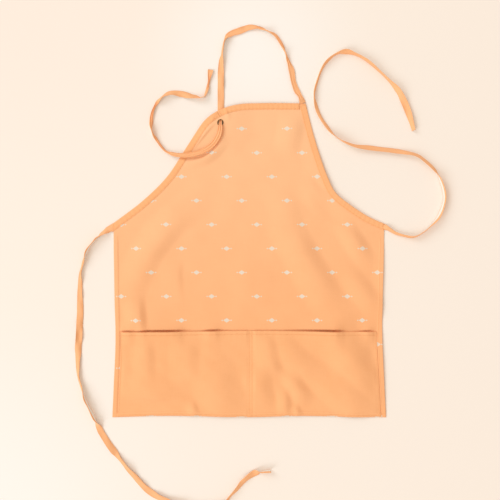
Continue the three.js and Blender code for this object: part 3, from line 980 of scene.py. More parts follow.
# Straps: x, y, roll in degrees, height of the lowest edge, and the gathered share of the width
NECK_STRAP = (
    (120, 351, 0, 0.5), (117, 358.5, 24, 0.4), (113.5, 366.5, 15, 0.2, 0.66), (106, 379.5, 8, 0, 0.9),
    (98.5, 400, 10, 0, 0.8), (94, 426, 8, 0, 0.92), (87, 445, 14, 0, 0.55), (80.5, 463, 79, 0, 0.7),
    (68.5, 488.5, 14, 0, 0.48), (57.5, 503, 25, 0, 0.62), (39.5, 512, 69, 0, 0.8),
    (21.5, 519.5, 26, 0, 0.5), (1.5, 521, 10, 0, 0.9), (-20, 513.5, -8, 0), (-42.5, 505, 8, 0, 0.9),
    (-55, 490, 80, 0, 0.8), (-59.5, 467.5, 70, 0, 0.6), (-62.5, 441, 20, 0, 0.8), (-63.5, 413.5, 5, 0),
    (-63.5, 338, 0, 0), (-64, 319, 0, 0.03, 0.62), (-64.5, 312, 0, 0.1, 0.5), (-64.5, 307.5, 0, 3.5, 0.5),
    (-64.5, 303, 0, 6.9, 0.5), (-64.5, 293, 4, 7.4, 0.66), (-68, 277.5, 8, 8.4, 0.78),
    (-82.5, 256.5, 10, 7.6, 0.76), (-107, 241.5, 12, 6.8, 0.76), (-138, 234.5, 10, 6.2, 0.76),
    (-166.5, 237, 30, 2.4, 0.8), (-187, 244, 35, 0, 0.3), (-203.5, 264.5, 8, 0, 0.36),
    (-217, 288, 92, 0, 0.8), (-218.5, 318, 8, 0, 0.5), (-211, 343, -5, 0, 0.3), (-196, 363, -76, 0, 0.9),
    (-177, 373, -40, 0, 0.95), (-150, 372, -8, 0, 0.97), (-125, 365.5, -45, 0),
    (-102, 362.5, -88, 0, 0.9), (-95.5, 376.5, -62, 0, 0.6), (-90.5, 398, -5, 0, 0.3),
    (-86, 426.5, -5, 0, 0.86),
)
TIE_RIGHT = (
    (299.5, 76, 0, 0.5), (312, 69.5, 38, 0.5, 0.64), (325.5, 61, 54, 0.3, 0.52), (345.5, 55, 74, 0, 0.66),
    (369, 53, 74, 0), (396.5, 69.5, 84, 0), (423, 100.5, 101, 0), (434.5, 135, 104, 0),
    (433.5, 153, 104, 0), (426.5, 176.5, 97, 0), (413, 202.5, 46, 0), (391.5, 222.5, 48, 0),
    (369, 236.5, 40, 0), (313.5, 246, 41, 0), (269, 250.5, 37, 0), (229, 256.5, 63, 0), (194, 275, 72, 0),
    (165.5, 310, 30, 0, 0.55), (151, 338.5, 28, 0, 0.66), (145, 368.5, 72, 0, 0.7),
    (151, 397.5, 60, 0, 0.52), (160, 423, 58, 0, 0.5), (171.5, 441.5, 73, 0, 0.8),
    (192.5, 459.5, 84, 0, 0.68), (215.5, 465, 55, 0), (240, 459, 85, 0, 0.8), (273, 437, 83, 0, 0.9),
    (310, 403, 88, 0, 0.72), (332.5, 377.5, 54, 0), (351.5, 341, 14, 0), (367, 290, 52, 0, 0.7),
)
TIE_LEFT = (
    (-300, 77.5, 0, 0.5), (-313.5, 70, 10, 0.5), (-326.5, 61, 45, 0.3, 0.85), (-342, 47, 94, 0),
    (-360.5, 23, 103, 0), (-375, -20.5, 45, 0, 0.48), (-378.5, -65.5, 5, 0, 0.75), (-378, -111, -8, 0),
    (-379.5, -156, -14, 0), (-382, -199.5, -10, 0), (-383, -233.5, 20, 0, 0.68),
    (-380, -262.5, 50, 0, 0.48), (-364, -313, 92, 0), (-345, -350.5, 94, 0),
    (-330.5, -384.5, -10, 0, 0.92), (-305, -422, -20, 0), (-287.5, -445.5, 30, 0, 0.62),
    (-265, -472, 25, 0, 0.85), (-242, -498.5, 12, 0, 0.92), (-222, -517, 4, 0), (-192.5, -533.5, 20, 0),
    (-155, -545, 40, 0), (-115, -554, 44, 0), (-79, -551.5, 50, 0), (-56, -543, 54, 0),
    (-44, -527, 62, 0, 0.7), (-27, -508.5, 46, 0, 0.92), (-12, -492, 27, 0), (11.5, -475.5, 6, 0),
    (29, -470, 92, 0), (48.5, -468, 97, 0),
)


def folds(*rows: tuple[Place, Place, Place, float, float, float]) -> tuple[Fold, ...]:
    """Folds from a table in millimetres.

    Args:
        rows: start, middle and end in plan, then the reach to the left, the reach to the right and the
            height.

    Returns:
        The folds, in metres.
    """
    return tuple(
        Fold(*(tuple(MM * part for part in point) for point in row[:3]), *(MM * size for size in row[3:]))
        for row in rows
    )


BODY_FOLDS = folds(
    ((-75, 135), (-205, 42), (-284, -150), 36, 50, 8.0),
    ((70, 125), (128, 0), (245, -180), 40, 55, 9.0),
    ((205, 95), (236, 42), (284, -26), 26, 32, 6.0),
    ((190, -5), (258, -75), (300, -135), 32, 34, 6.0),
    ((100, 335), (95, 285), (82, 222), 30, 40, 5.0),
    ((-252, -75), (-247, -125), (-243, -190), 20, 40, 8.0),
    ((-150, 10), (-162, -35), (-150, -110), 16, 45, 2.6),
    ((120, 195), (142, 155), (185, 125), 22, 40, 4.0),
    ((60, 190), (80, 130), (95, 60), 50, 50, 2.6),
    ((10, 30), (5, -50), (20, -125), 60, 60, 2.6),
    ((302, 60), (304, -50), (302, -150), 30, 30, 3.0),
    ((302, -120), (302, -230), (306, -360), 30, 30, 3.0),
    ((-55, 343), (-48, 325), (-40, 312), 6, 8, 1.7),
    ((-75, 330), (-80, 318), (-88, 306), 6, 8, 1.4),
    ((-72, 310), (-98, 284), (-130, 243), 5, 12, 3.0),
    ((-168, 224.5), (-97, 231), (-50, 284), 6, 20, 6.2),
    ((-330, -352), (0, -354), (330, -352), 45, 45, 3.2),
    ((-70, 344), (40, 356), (140, 352), 40, 40, 2.4),
    ((140, 300), (192, 160), (310, 80), 50, 50, 3.6),
)
POCKET_FOLDS = folds(
    ((-240, -160), (-232, -220), (-232, -285), 26, 36, 5.0),
    ((-130, -155), (-141, -222), (-132, -290), 34, 45, 6.0),
    ((-105, -185), (-72, -280), (-20, -345), 60, 60, 8.0),
    ((-292, -296), (-210, -300), (-125, -306), 60, 20, 6.5),
    ((-132, -312), (-124, -332), (-114, -350), 12, 20, 3.2),
    ((28, -158), (44, -212), (62, -275), 26, 40, 7.0),
    ((8, -215), (24, -285), (34, -345), 34, 40, 5.5),
    ((76, -235), (106, -285), (138, -325), 26, 26, 7.0),
    ((74, -275), (79, -315), (82, -352), 18, 22, 5.0),
    ((98, -318), (106, -335), (114, -350), 12, 14, 3.4),
    ((50, -160), (105, -222), (175, -275), 36, 36, 6.0),
    ((168, -130), (228, -225), (272, -360), 52, 60, 11.0),
    ((135, -220), (205, -300), (275, -362), 38, 45, 8.0),
)
FOLDS = BODY_FOLDS + POCKET_FOLDS


def dress(
    piece: bpy.types.Object, material: bpy.types.Material, slot: Slot, *nodes: str
) -> bpy.types.Object:
    """Gives a piece its material and sets it on the body.

    Args:
        piece: the piece.
        material: what it is made of.
        slot: not used.
        nodes: the CAD nodes that it stands for.

    Returns:
        The piece.
    """
    piece.data.materials.append(material)
    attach(piece, BODY)
    if nodes:
        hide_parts(*nodes)
    log.info("%s: %d faces", piece.name, len(piece.data.polygons))
    return piece


@dataclass
class Strap:
    """A free tape that rolls between lying flat and standing on edge, its edges turned in and sewn."""

    node: str
    rows: Sequence[tuple[float, ...]]
    seed: int
    width: float = 0.0142
    thickness: float = 0.0014
    bulk: float = 0.55
    step: float = 0.0025
    wobble: float = 4.0
    drift_lengths: Place = (0.03, 0.09)
    drift_waves: int = 6
    drift_aside: float = 0.05
    seam_at: float = 0.72
    seam_dirt_and_shade_tone: float = 0.8
    clear: float = 0.0002
    cupping: float = 0.0011
    cup_rest: float = 0.4
    lens_share: float = 0.9
    lens_power: int = 12
    pleats: float = 0.0
    pleat_phase: float = 0.9
    eased_over: float = 0.02
    full_gather: float = 0.5
    full_lift: float = 0.006
    groove_width: float = 0.07
    groove_depth: float = 0.35
    near_hem: float = 0.34
    far_hem: float = 0.86
    hem_ease: float = 0.06
    end_rows: int = 2

    def build(self, tape: bpy.types.Material, thread: bpy.types.Material) -> None:
        """At each place along the route the section is a flat lens, square to the way and turned by the
        roll: across = cos(roll) left + sin(roll) up, out = -sin(roll) left + cos(roll) up. Its lowest
        point lies at the row's height. Grooves run under the stitches, and where the tape is gathered or
        carried on the cloth it is pleated by a wave across it.

        Args:
            tape: the tape's material.
            thread: the stitches' material.
        """
        table = np.array([(*row, 1.0)[:5] for row in self.rows]) * (MM, MM, 1.0, MM, 1.0)
        route = PlanCurve(table[:, :2])
        shares = route.evenly(self.step)
        place = shares * (len(table) - 1)
        row = np.minimum(place.astype(int), len(table) - 2)
        between = smooth(place - row)[:, None]
        turn, under, gather = (table[row, 2:] * (1 - between) + table[row + 1, 2:] * between).T
        plan, way = route.at(shares), route.way(shares)
        gone = walked(plan)
        drift = Ripple(1.0, *self.drift_lengths, self.seed, self.drift_waves)
        eased = smooth(gone / self.eased_over)
        roll = np.radians(turn + self.wobble * eased * drift.at(gone, 0 * gone))

        left = np.c_[-way[:, 1], way[:, 0], 0 * gone]
        up = np.array([0.0, 0.0, 1.0])
        cos, sin = np.cos(roll)[:, None], np.sin(roll)[:, None]
        across, out = cos * left + sin * up, cos * up - sin * left
        half = (self.width * gather / 2)[:, None]
        thick = (self.thickness / gather**self.bulk / 2)[:, None]
        height = under + self.clear + (half * abs(sin) + thick * abs(cos))[:, 0]
        middle = np.c_[plan, height]

        edge = np.array([1.0, 0.97, 0.9, 0.81, self.seam_at, 0.62, 0.5, 0.34, 0.17])
        c = np.concatenate([edge, [0.0], -edge[::-1]])
        groove = bell(abs(c) - self.seam_at, self.groove_width)
        lens = np.sqrt(1 - self.lens_share * abs(c) ** self.lens_power) * (1 - self.groove_depth * groove)
        aside = drift.at(gone, self.drift_aside + 0 * gone)[:, None]
        cup = self.cupping * aside * (c * c - self.cup_rest)
        gathered = np.maximum(smooth((1 - gather) / self.full_gather), smooth(under / self.full_lift))
        pleat = self.pleats * gathered[:, None] * np.cos(2 * np.pi * c + self.pleat_phase)
        line = middle[:, None] + across[:, None] * (half * c)[..., None]
        bow = (cup + pleat)[..., None] * out[:, None]
        shell = out[:, None] * (thick * lens)[..., None]
        face, back = line + bow + shell, line + bow - shell
        low = np.minimum(face[..., 2], back[..., 2]).min(1)
        rise = np.clip(self.clear / 2 - low, 0, None)
        for grid in (face, back):
            grid[..., 2] += rise[:, None]

        uv = np.stack(np.broadcast_arrays(gone[:, None], half * c), -1)
        hems = [smooth((c - self.near_hem) / self.hem_ease), smooth((-c - self.far_hem) / self.hem_ease)]
        # the seam mark carries dirt and painted shade into the grooves under the stitches
        marks = {"seam": groove * self.seam_dirt_and_shade_tone, "hem": np.maximum(*hems)}
        piece = cloth_object(f"{self.node}_tape", face, back, None, marks, uv)
        dress(piece, tape, Slot.TAPE, self.node)

        columns = [nearest(c, self.seam_at), nearest(c, -self.seam_at)]
        sewn_rows = slice(self.end_rows, -self.end_rows)
        last, end = -self.end_rows - 1, slice(columns[0], columns[1] + 1)
        sides = ((face, 1.0), (back, -1.0))
        lines = [
            SeamLine(grid[sewn_rows, column], sign * out[sewn_rows])
            for grid, sign in sides
            for column in columns
        ]
        lines += [
            SeamLine(grid[last, end], np.broadcast_to(sign * out[last], grid[last, end].shape))
            for grid, sign in sides
        ]
        sewn = dress(Stitching().build(f"{self.node}_stitches", lines), thread, Slot.TAPE)
        centre = middle + np.c_[0 * plan, rise]


@dataclass(frozen=True)
class Outline:
    """The panel's edges, and the blend of them that spreads a grid over the cloth."""

    bib: PlanCurve = PlanCurve(BIB_EDGE)
    armhole: PlanCurve = PlanCurve(RIGHT_ARMHOLE)
    left: PlanCurve = PlanCurve(SKIRT_SIDES[:, [1, 0]])
    right: PlanCurve = PlanCurve(SKIRT_SIDES[:, [2, 0]])
    lower: PlanCurve = PlanCurve(LOWER_EDGE)
    tuck: float = 0.001
    waist: float = 15 / 35

    @property
    def top_right(self) -> Array:
        """The panel's corner inside the tapes at the right of the bib."""
        return BIB_EDGE[-1] - self.tuck

    def side(
        self, v: Array, skirt: PlanCurve, edge: PlanCurve, cloth: ClothSide, stop: float, corner: Array
    ) -> Array:
        """One long side: the skirt's edge up to the waist corner, then the armhole.

        Args:
            v: places up the side, 0 at the hem and 1 at the top.
            skirt: the skirt's side edge.
            edge: the armhole.
            cloth: where the cloth lies along the armhole.
            stop: the armhole's share at which the side ends.
            corner: the side's last point.

        Returns:
            Points in plan.
        """
        waist = edge.inset(np.zeros(1), np.full(1, self.tuck), cloth)[0]
        bottom, steady = SKIRT_SIDES[0, 0], SKIRT_SIDES[-1, 0]
        y = bottom + (waist[1] - bottom) * v / self.waist
        curved = skirt.at(skirt.share_where(1, np.minimum(y, steady)))
        last = skirt.at(np.ones(1))[0]
        straight = last + (waist - last) * np.clip((y - steady) / (waist[1] - steady), 0, 1)[:, None]
        lower = np.where((y <= steady)[:, None], curved, straight)
        rise = np.clip((v - self.waist) / (1 - self.waist), 0, 1)
        ends = edge.at(np.array([0.0, stop]))[:, 1]
        place = edge.share_where(1, ends[0] + (ends[1] - ends[0]) * rise, 0.0, stop)
        upper = edge.inset(place, np.full(len(v), self.tuck), cloth)
        upper[rise >= 1] = corner
        return np.where((v <= self.waist)[:, None], lower, upper)

    def spread(self, u: Array, v: Array) -> Array:
        """A grid over the panel: its sides and its ends blended straight across, less its corners.

        Args:
            u: places from left to right, 0 to 1.
            v: places from hem to top, 0 to 1.

        Returns:
            Points in plan, rows by columns by two.
        """
        corner = BIB_EDGE[BIB_CORNER_ROW, 0]
        x = corner + (BIB_EDGE[-1, 0] - corner) * u
        place = self.bib.share_where(0, x, BIB_CORNER, 1.0)
        top = self.bib.inset(place, np.full(len(u), self.tuck), ClothSide.RIGHT)
        top[-1] = self.top_right
        bottom = self.lower.at(self.lower.share_where(0, LOWER_EDGE[0, 0] * (1 - 2 * u)))
        left = self.side(v, self.left, self.bib, ClothSide.RIGHT, BIB_CORNER, top[0])
        right = self.side(v, self.right, self.armhole, ClothSide.LEFT, 1.0, top[-1])
        across, up = u[None, :, None], v[:, None, None]
        between = left[:, None] * (1 - across) + right[:, None] * across
        upright = bottom[None] * (1 - up) + top[None] * up
        ends = [edge[0] * (1 - across) + edge[-1] * across for edge in (bottom, top)]
        return between + upright - ends[0] * (1 - up) - ends[1] * up


def rounded(distance: Array, thickness: Array) -> Array:
    """Share of the full thickness near a rim: a quarter at the rim, rising as a circle does."""
    near = 1 - np.clip(distance / thickness, 0, 1)
    return RIM_SHARE + (1 - RIM_SHARE) * np.sqrt(1 - near * near)


@dataclass
class BodyPanel:
    """The canvas front, bib and skirt in one cut, with turned hems at its sides and bottom."""

    outline: Outline = field(default_factory=Outline)
    cloth: float = 0.0008
    hem: float = 0.0105
    hem_seam: float = 0.009
    hem_top: float = 0.06
    edge_lift: float = 0.0009
    edge_flat: float = 0.016
    edge_fade: float = 0.03
    crossing: tuple[float, float, float] = (-0.0634, 0.3, 0.35)
    crossing_core: float = 0.02
    crossing_fade: float = 0.06
    crossing_lift: float = 0.0044
    eyelet: Place = (-0.0643, 0.3076)
    eyelet_hole: float = 0.0066
    swell: float = 0.75
    swell_edge: float = 0.0055
    swell_reach: float = 0.04
    loft: float = 0.0007
    ripple: Ripple = Ripple(0.0003, 0.045, 0.13, 7)
    loose_half_width: float = 0.3
    loose_from: float = 0.012
    loose_run: float = 0.05
    edge_samples: int = 181
    step: float = 0.0036
    fine: float = 0.00075
    hem_zone: float = 0.0135
    below_mouth: float = 0.006
    above_mouth: float = 0.014
    skirt_width: float = 0.612
    hem_ease: float = 0.0015
    hem_fade: float = 0.03
    seam_width: float = 0.0011
    seam_depth: float = 0.0002
    seam_top: float = 0.062
    side_top: float = 0.08
    pucker: Pucker = Pucker(0.00016, 0.0115, 1.7, 61.0)
    pucker_at: float = 0.006
    pucker_width: float = 0.005
    pucker_dip: float = 0.0001
    flat: Place = (0.634, 0.726)

    def lift(self, x: Array, y: Array) -> Array:
        """Height of the cloth's underside over places in plan.

        Bound edges lie a tape's thickness up, the bib's left corner lies over the strap, and folds,
        slow ripples and a slight loft are added away from the edges. Above the pocket's mouth the cloth
        swells where the mouth stands open, steeply at the mouth and gently further up.

        Args:
            x: places along X.
            y: places along Y, of the same shape.

        Returns:
            Heights, of the same shape.
        """
        shares = np.linspace(0, 1, self.edge_samples)
        edges = np.concatenate([self.outline.bib.at(shares), self.outline.armhole.at(shares)])
        gaps = np.hypot(np.ravel(x)[:, None] - edges[:, 0], np.ravel(y)[:, None] - edges[:, 1])
        away = gaps.min(1).reshape(np.shape(x))
        raised = self.edge_lift * (1 - smooth((away - self.edge_flat) / self.edge_fade))
        cx, low, high = self.crossing
        near = np.hypot(x - cx, y - np.clip(y, low, high))
        over = 1 - smooth((near - self.crossing_core) / self.crossing_fade)
        inner = np.minimum.reduce([away, self.loose_half_width - abs(x), y - SKIRT_SIDES[0, 0]])
        loose = smooth((inner - self.loose_from) / self.loose_run)
        slack = loose * (self.loft + self.ripple.at(x, y))
        beyond = y - MOUTH.across(x)
        gentle = np.clip(1 - beyond / self.swell_reach, 0, 1) ** 2
        slack = slack + self.swell * OPENING.across(x) * smooth(beyond / self.swell_edge) * gentle
        carried = raised + (self.crossing_lift - raised) * over
        return carried + fold_height(FOLDS, x, y) + slack * (1 - over)

    def bottom_hem(self, x: Array, y: Array) -> Array:
        """How much of the turned bottom hem lies at a place, 0 to 1."""
        return short_of(self.hem, y - self.outline.lower.across(x), self.hem_ease)

    def face(self, x: Array, y: Array) -> Array:
        """Height of the cloth's face away from its side hems, for what lies on it."""
        return self.lift(x, y) + self.cloth * (1 + self.bottom_hem(x, y))

    def build(self, canvas: bpy.types.Material, thread: bpy.types.Material) -> bpy.types.Object:
        """Builds the panel with its hems, its eyelet hole and its stitching.

        The cloth is one layer thick and two in the hems, with round rims, a groove under the hem's
        stitches and small puckers along it.

        Args:
            canvas: the panel's material.
            thread: the stitches' material.

        Returns:
            The panel.
        """
        zone, width = self.hem_zone, self.skirt_width
        far = width - zone
        u = graded((0, zone, self.fine), (zone, far, self.step), (far, width, self.fine)) / width
        skirt = self.outline.bib.at(np.zeros(1))[0, 1] - SKIRT_SIDES[0, 0]
        bib = BIB_EDGE[BIB_CORNER_ROW, 1] - BIB_EDGE[0, 1]
        mouth = float(MOUTH.across(np.zeros(1))[0]) - SKIRT_SIDES[0, 0]
        below, above = mouth - self.below_mouth, mouth + self.above_mouth
        rise = graded(
            (0, zone, self.fine), (zone, below, self.step), (below, above, self.fine * 1.5),
            (above, skirt, self.step), (skirt, skirt + bib, self.step),
        )
        v = np.where(
            rise <= skirt,
            rise / skirt * self.outline.waist,
            self.outline.waist + (rise - skirt) / bib * (1 - self.outline.waist),
        )
        plan = self.outline.spread(u, v)
        hole = plan - self.eyelet
        reach = np.linalg.norm(hole, axis=-1)
        inside = reach < self.eyelet_hole
        cells = [inside[:-1, :-1], inside[:-1, 1:], inside[1:, :-1], inside[1:, 1:]]
        keep = ~np.logical_and.reduce(cells)
        rim = hole / np.maximum(reach, 1e-6)[..., None] * self.eyelet_hole
        plan = np.where(inside[..., None], self.eyelet + rim, plan)
        x, y = plan[..., 0], plan[..., 1]

        from_side = np.broadcast_to(np.minimum(u, 1 - u) * width, x.shape)
        from_bottom = np.broadcast_to(rise[:, None], x.shape)
        hemmed = smooth((self.hem_top - y) / self.hem_fade)
        rows = [(from_side, y, hemmed), (from_bottom, x, np.ones_like(x))]
        hem = np.maximum.reduce([short_of(self.hem, d, self.hem_ease) * on for d, _, on in rows])
        seam = np.maximum.reduce([bell(d - self.hem_seam, self.seam_width) * on for d, _, on in rows])
        pucker = sum(
            self.pucker.at(along) * bell(d - self.pucker_at, self.pucker_width) * on
            for d, along, on in rows
        )
        thick = self.cloth * (1 + hem)
        edge = rounded(np.minimum(np.where(y < self.side_top, from_side, 1.0), from_bottom), thick)
        under = self.lift(x, y) + np.clip(pucker, -self.pucker_dip, None)
        middle = under + thick / 2
        face = np.dstack([x, y, middle + thick / 2 * edge - self.seam_depth * seam])
        back = np.dstack([x, y, middle - thick / 2 * edge])
        # the seam mark also darkens the colour along the hem seams, part dirt and part painted shade
        piece = cloth_object("body_canvas", face, back, keep, {"seam": seam, "hem": hem})
        dress(piece, canvas, Slot.CANVAS, "body_panel")

        left, right = (nearest(u * width, at) for at in (self.hem_seam, width - self.hem_seam))
        low, high = nearest(rise, self.hem_seam), nearest(y[:, 0], self.seam_top)
        lines = ((slice(low, high), left), (slice(low, high), right), (low, slice(left, right)))
        seams = [SeamLine.laid(face[line]) for line in lines]
        seams += [SeamLine.beneath(back[line]) for line in lines]
        sewn = dress(Stitching().build("body_stitches", seams), thread, Slot.CANVAS)
        area = float(np.sum(
            0.5 * abs(
                (x[1:, 1:] - x[:-1, :-1]) * (y[1:, :-1] - y[:-1, 1:])
                - (x[1:, :-1] - x[:-1, 1:]) * (y[1:, 1:] - y[:-1, :-1])
            )
        ))
        return piece


@dataclass
class Pocket:
    """One wide canvas patch with a turned mouth, sewn at its sides, its bottom and a middle divider."""

    body: BodyPanel
    inset: float = 0.012
    bottom_inset: float = 0.002
    gap: float = 0.0003
    cloth: float = 0.0008
    mouth_hem: float = 0.0085
    mouth_seam: float = 0.0075
    dividers: Place = (0.001, 0.0066)
    gape_depth: float = 0.06
    gape_power: float = 1.5
    free_run: float = 0.009
    free_rise: float = 0.007
    width: float = 0.588
    plan_width: float = 0.6
    edge_zone: float = 0.012
    divider_zone: Place = (-0.0105, 0.0165)
    step: float = 0.0034
    fine: float = 0.0009
    finest: float = 0.0008
    side_seam: float = 0.0025
    bottom_seam: float = 0.003
    side_column: int = 3
    seam_width: float = 0.0009
    bottom_seam_width: float = 0.001
    mouth_seam_width: float = 0.0011
    seam_depth: float = 0.0002
    hem_ease: float = 0.0012
    turned_in: float = 0.008
    turned_ease: float = 0.0015
    loft: float = 0.0006
    ripple: Ripple = Ripple(0.00035, 0.03, 0.11, 23)
    pucker: Pucker = Pucker(0.00018, 0.0125, 1.9, 53.0)
    pucker_width: float = 0.006
    pucker_dip: float = 0.0001
    flat: Place = (0.604, 0.215)

    def build(
        self, canvas: bpy.types.Material, thread: bpy.types.Material, rests_on: bpy.types.Object
    ) -> None:
        """Builds the pocket on the panel's face, with its stitching.

        Its height is the panel's face, folds included, plus the mouth's opening, which fades with
        depth, plus a little slack, which fades towards every seam. Seams draw it down in a groove.

        Args:
            canvas: the pocket's material.
            thread: the stitches' material.
            rests_on: not used.
        """
        outline = self.body.outline
        zone, half = self.edge_zone, self.width / 2
        near, far = self.divider_zone
        run = graded(
            (-half, zone - half, self.fine), (zone - half, near, self.step), (near, far, self.fine),
            (far, half - zone, self.step), (half - zone, half, self.fine),
        )
        share = run / self.width + 0.5
        guess = (share - 0.5) * self.plan_width
        mouth = MOUTH.across(guess)
        base = outline.lower.across(guess) + self.bottom_inset
        tall = float((mouth - base).mean())
        low = tall - zone
        deep = graded((0, zone, self.finest), (zone, low, self.step), (low, tall, self.fine))[::-1]
        y = mouth - deep[:, None] / tall * (mouth - base)
        ends = [
            edge.at(edge.share_where(1, y))[..., 0] + shift
            for edge, shift in ((outline.left, self.inset), (outline.right, -self.inset))
        ]
        x = ends[0] + (ends[1] - ends[0]) * share
        depth = np.broadcast_to(deep[:, None], x.shape)
        from_side = np.minimum(x - ends[0], ends[1] - x)
        first, second = self.dividers
        from_divider = np.maximum.reduce([first - x, x - second, np.zeros_like(x)])
        from_bottom = tall - depth
        sewn_near = np.minimum(from_side - self.bottom_seam, from_divider)
        sewn_below = from_bottom - self.bottom_seam
        free = smooth(sewn_near / self.free_run) * smooth(sewn_below / self.free_rise)
        opening = OPENING.across(x) * np.clip(1 - depth / self.gape_depth, 0, None) ** self.gape_power
        seams = (
            (depth - self.mouth_seam, self.mouth_seam_width, x),
            (from_side - self.side_seam, self.seam_width, y),
            (x - first, self.seam_width, y),
            (x - second, self.seam_width, y),
            (from_bottom - self.bottom_seam, self.bottom_seam_width, x),
        )
        groove = np.maximum.reduce([bell(d, wide) for d, wide, _ in seams])
        pucker = sum(self.pucker.at(along) * bell(d, self.pucker_width) for d, _, along in seams)
        slack = self.ripple.at(x, y) + self.loft
        raised = opening + np.clip(slack, 0, None) * free
        hem = short_of(self.mouth_hem, depth, self.hem_ease)
        rim = np.minimum(from_side, from_bottom)
        turned = np.maximum(hem, smooth((self.turned_in - rim) / self.turned_ease))
        thick = self.cloth * (1 + hem)
        edge = rounded(np.minimum(rim, depth), thick)
        under = self.body.face(x, y) + self.gap + raised + np.clip(pucker, -self.pucker_dip, None)
        centre = under + thick / 2
        face = np.dstack([x, y, centre + thick / 2 * edge - self.seam_depth * groove])
        back = np.dstack([x, y, centre - thick / 2 * edge])
        # the seam mark also darkens the colour along the pocket's seams, part dirt and part painted shade
        piece = cloth_object("pocket_canvas", face, back, None, {"seam": groove, "hem": turned})
        dress(piece, canvas, Slot.CANVAS, "pocket")

        left, right = self.side_column, len(run) - 1 - self.side_column
        top, low = nearest(deep, self.mouth_seam), nearest(tall - deep, self.bottom_seam)
        columns = [left, right, *(nearest(x[len(deep) // 2], at) for at in self.dividers)]
        lines = [face[row, left:right] for row in (top, low)] + [face[low:, column] for column in columns]
        laid = [SeamLine.laid(line) for line in lines]
        sewn = dress(Stitching().build("pocket_stitches", laid), thread, Slot.CANVAS)


# The folded tape's section, from the edge of its back leg to the edge of its front leg: inward, up
BINDING_OUTER = MM * np.array([
    (14, 0.25), (13.7, 0.02), (11, 0), (7, 0), (3, 0), (1.2, 0.05), (0.4, 0.35), (0.05, 0.9), (0, 1.3),
    (0.05, 1.75), (0.4, 2.25), (1.2, 2.55), (3, 2.62), (7, 2.6), (10.6, 2.58), (11.4, 2.5), (11.9, 2.3),
    (12.4, 2.5), (13.2, 2.56), (13.8, 2.45), (14.05, 2.15),
])
BINDING_INNER = MM * np.array([
    (13.9, 0.55), (13.7, 0.75), (11, 0.8), (7, 0.8), (3, 0.8), (1.8, 0.82), (1.2, 0.95), (0.95, 1.1),
    (0.9, 1.3), (0.95, 1.5), (1.2, 1.65), (1.8, 1.78), (3, 1.8), (7, 1.8), (10.6, 1.8), (11.4, 1.8),
    (11.9, 1.8), (12.4, 1.8), (13.2, 1.8), (13.7, 1.85), (13.95, 1.95),
])
BINDING_SEAMS = (16, 2)
BINDING_FRONT = slice(11, 19)


@dataclass
class Binding:
    """Tape folded over an edge of the panel and sewn through near its inner edge."""

    node: str
    body: BodyPanel
    curve: PlanCurve
    side: ClothSide
    start: float
    stop: float
    waist_x: float | None = None
    step: float = 0.0022
    slide_run: float = 0.03
    front_above: float = 0.0015
    front_ease: float = 0.0008
    pucker_from: float = 0.003
    pucker: Pucker = Pucker(0.00022, 0.0095, 1.6, 71.0)
    lowest: float = 0.0001
    seam_width: float = 0.0008
    end_rows: int = 2
    tacks: tuple[int, ...] = (1, 2, -3, -2)

    def wrap(self, shares: Array, path: Array) -> Array:
        """A layer of the folded tape: a section carried along the edge.

        Each point of the section is moved inwards from the edge and up from the panel's underside.
        At a waist end the tape slides along itself so that it ends upright, and small puckers run
        along its front leg.

        Args:
            shares: places along the edge.
            path: the section, inward distance and height.

        Returns:
            Points, rows by columns by three.
        """
        inward, height = path.T
        plan = self.curve.inset(shares[:, None], inward, self.side)
        gone = walked(self.curve.at(shares))
        if self.waist_x is not None:
            first = self.curve.at(np.zeros(1))[0]
            way = self.curve.way(np.zeros(1))[0]
            square = way[1] * self.side.value
            slide = (self.waist_x - first[0] - square * inward) / way[0]
            from_waist = gone if shares[0] < shares[-1] else gone[-1] - gone
            fade = 1 - smooth(from_waist / self.slide_run)
            plan = plan + way * (fade[:, None] * slide)[..., None]
        front = smooth((height - self.front_above) / self.front_ease) * smooth(inward / self.pucker_from)
        base = self.body.lift(plan[..., 0], plan[..., 1]) - self.body.edge_lift
        z = base + height + self.pucker.at(gone)[:, None] * front
        return np.dstack([plan, np.maximum(z, self.lowest)])

    def build(self, tape: bpy.types.Material) -> list[SeamLine]:
        """Builds the folded tape.

        Args:
            tape: the tape's material.

        Returns:
            The lines of its stitches.
        """
        shares = self.curve.evenly(self.step, self.start, self.stop)
        if self.side is ClothSide.LEFT:
            shares = shares[::-1]
        outer, inner = self.wrap(shares, BINDING_OUTER), self.wrap(shares, BINDING_INNER)
        walk = walked(BINDING_OUTER)
        gone = np.arange(len(shares)) * self.step
        uv = np.stack(np.broadcast_arrays(gone[:, None], walk[None]), -1)
        sewn_at = BINDING_OUTER[BINDING_SEAMS[0], 0]
        # the seam mark darkens the tape along its stitching, part dirt and part painted shade
        marks = {"seam": bell(BINDING_OUTER[:, 0] - sewn_at, self.seam_width), "hem": np.ones(len(walk))}
        piece = cloth_object(f"{self.node}_tape", outer, inner, None, marks, uv)
        dress(piece, tape, Slot.TAPE, self.node)
        front, back = (outer[self.end_rows:-self.end_rows, column] for column in BINDING_SEAMS)
        tacks = [SeamLine.laid(outer[row, BINDING_FRONT]) for row in self.tacks]
        return [SeamLine.laid(front), SeamLine.beneath(back), *tacks]


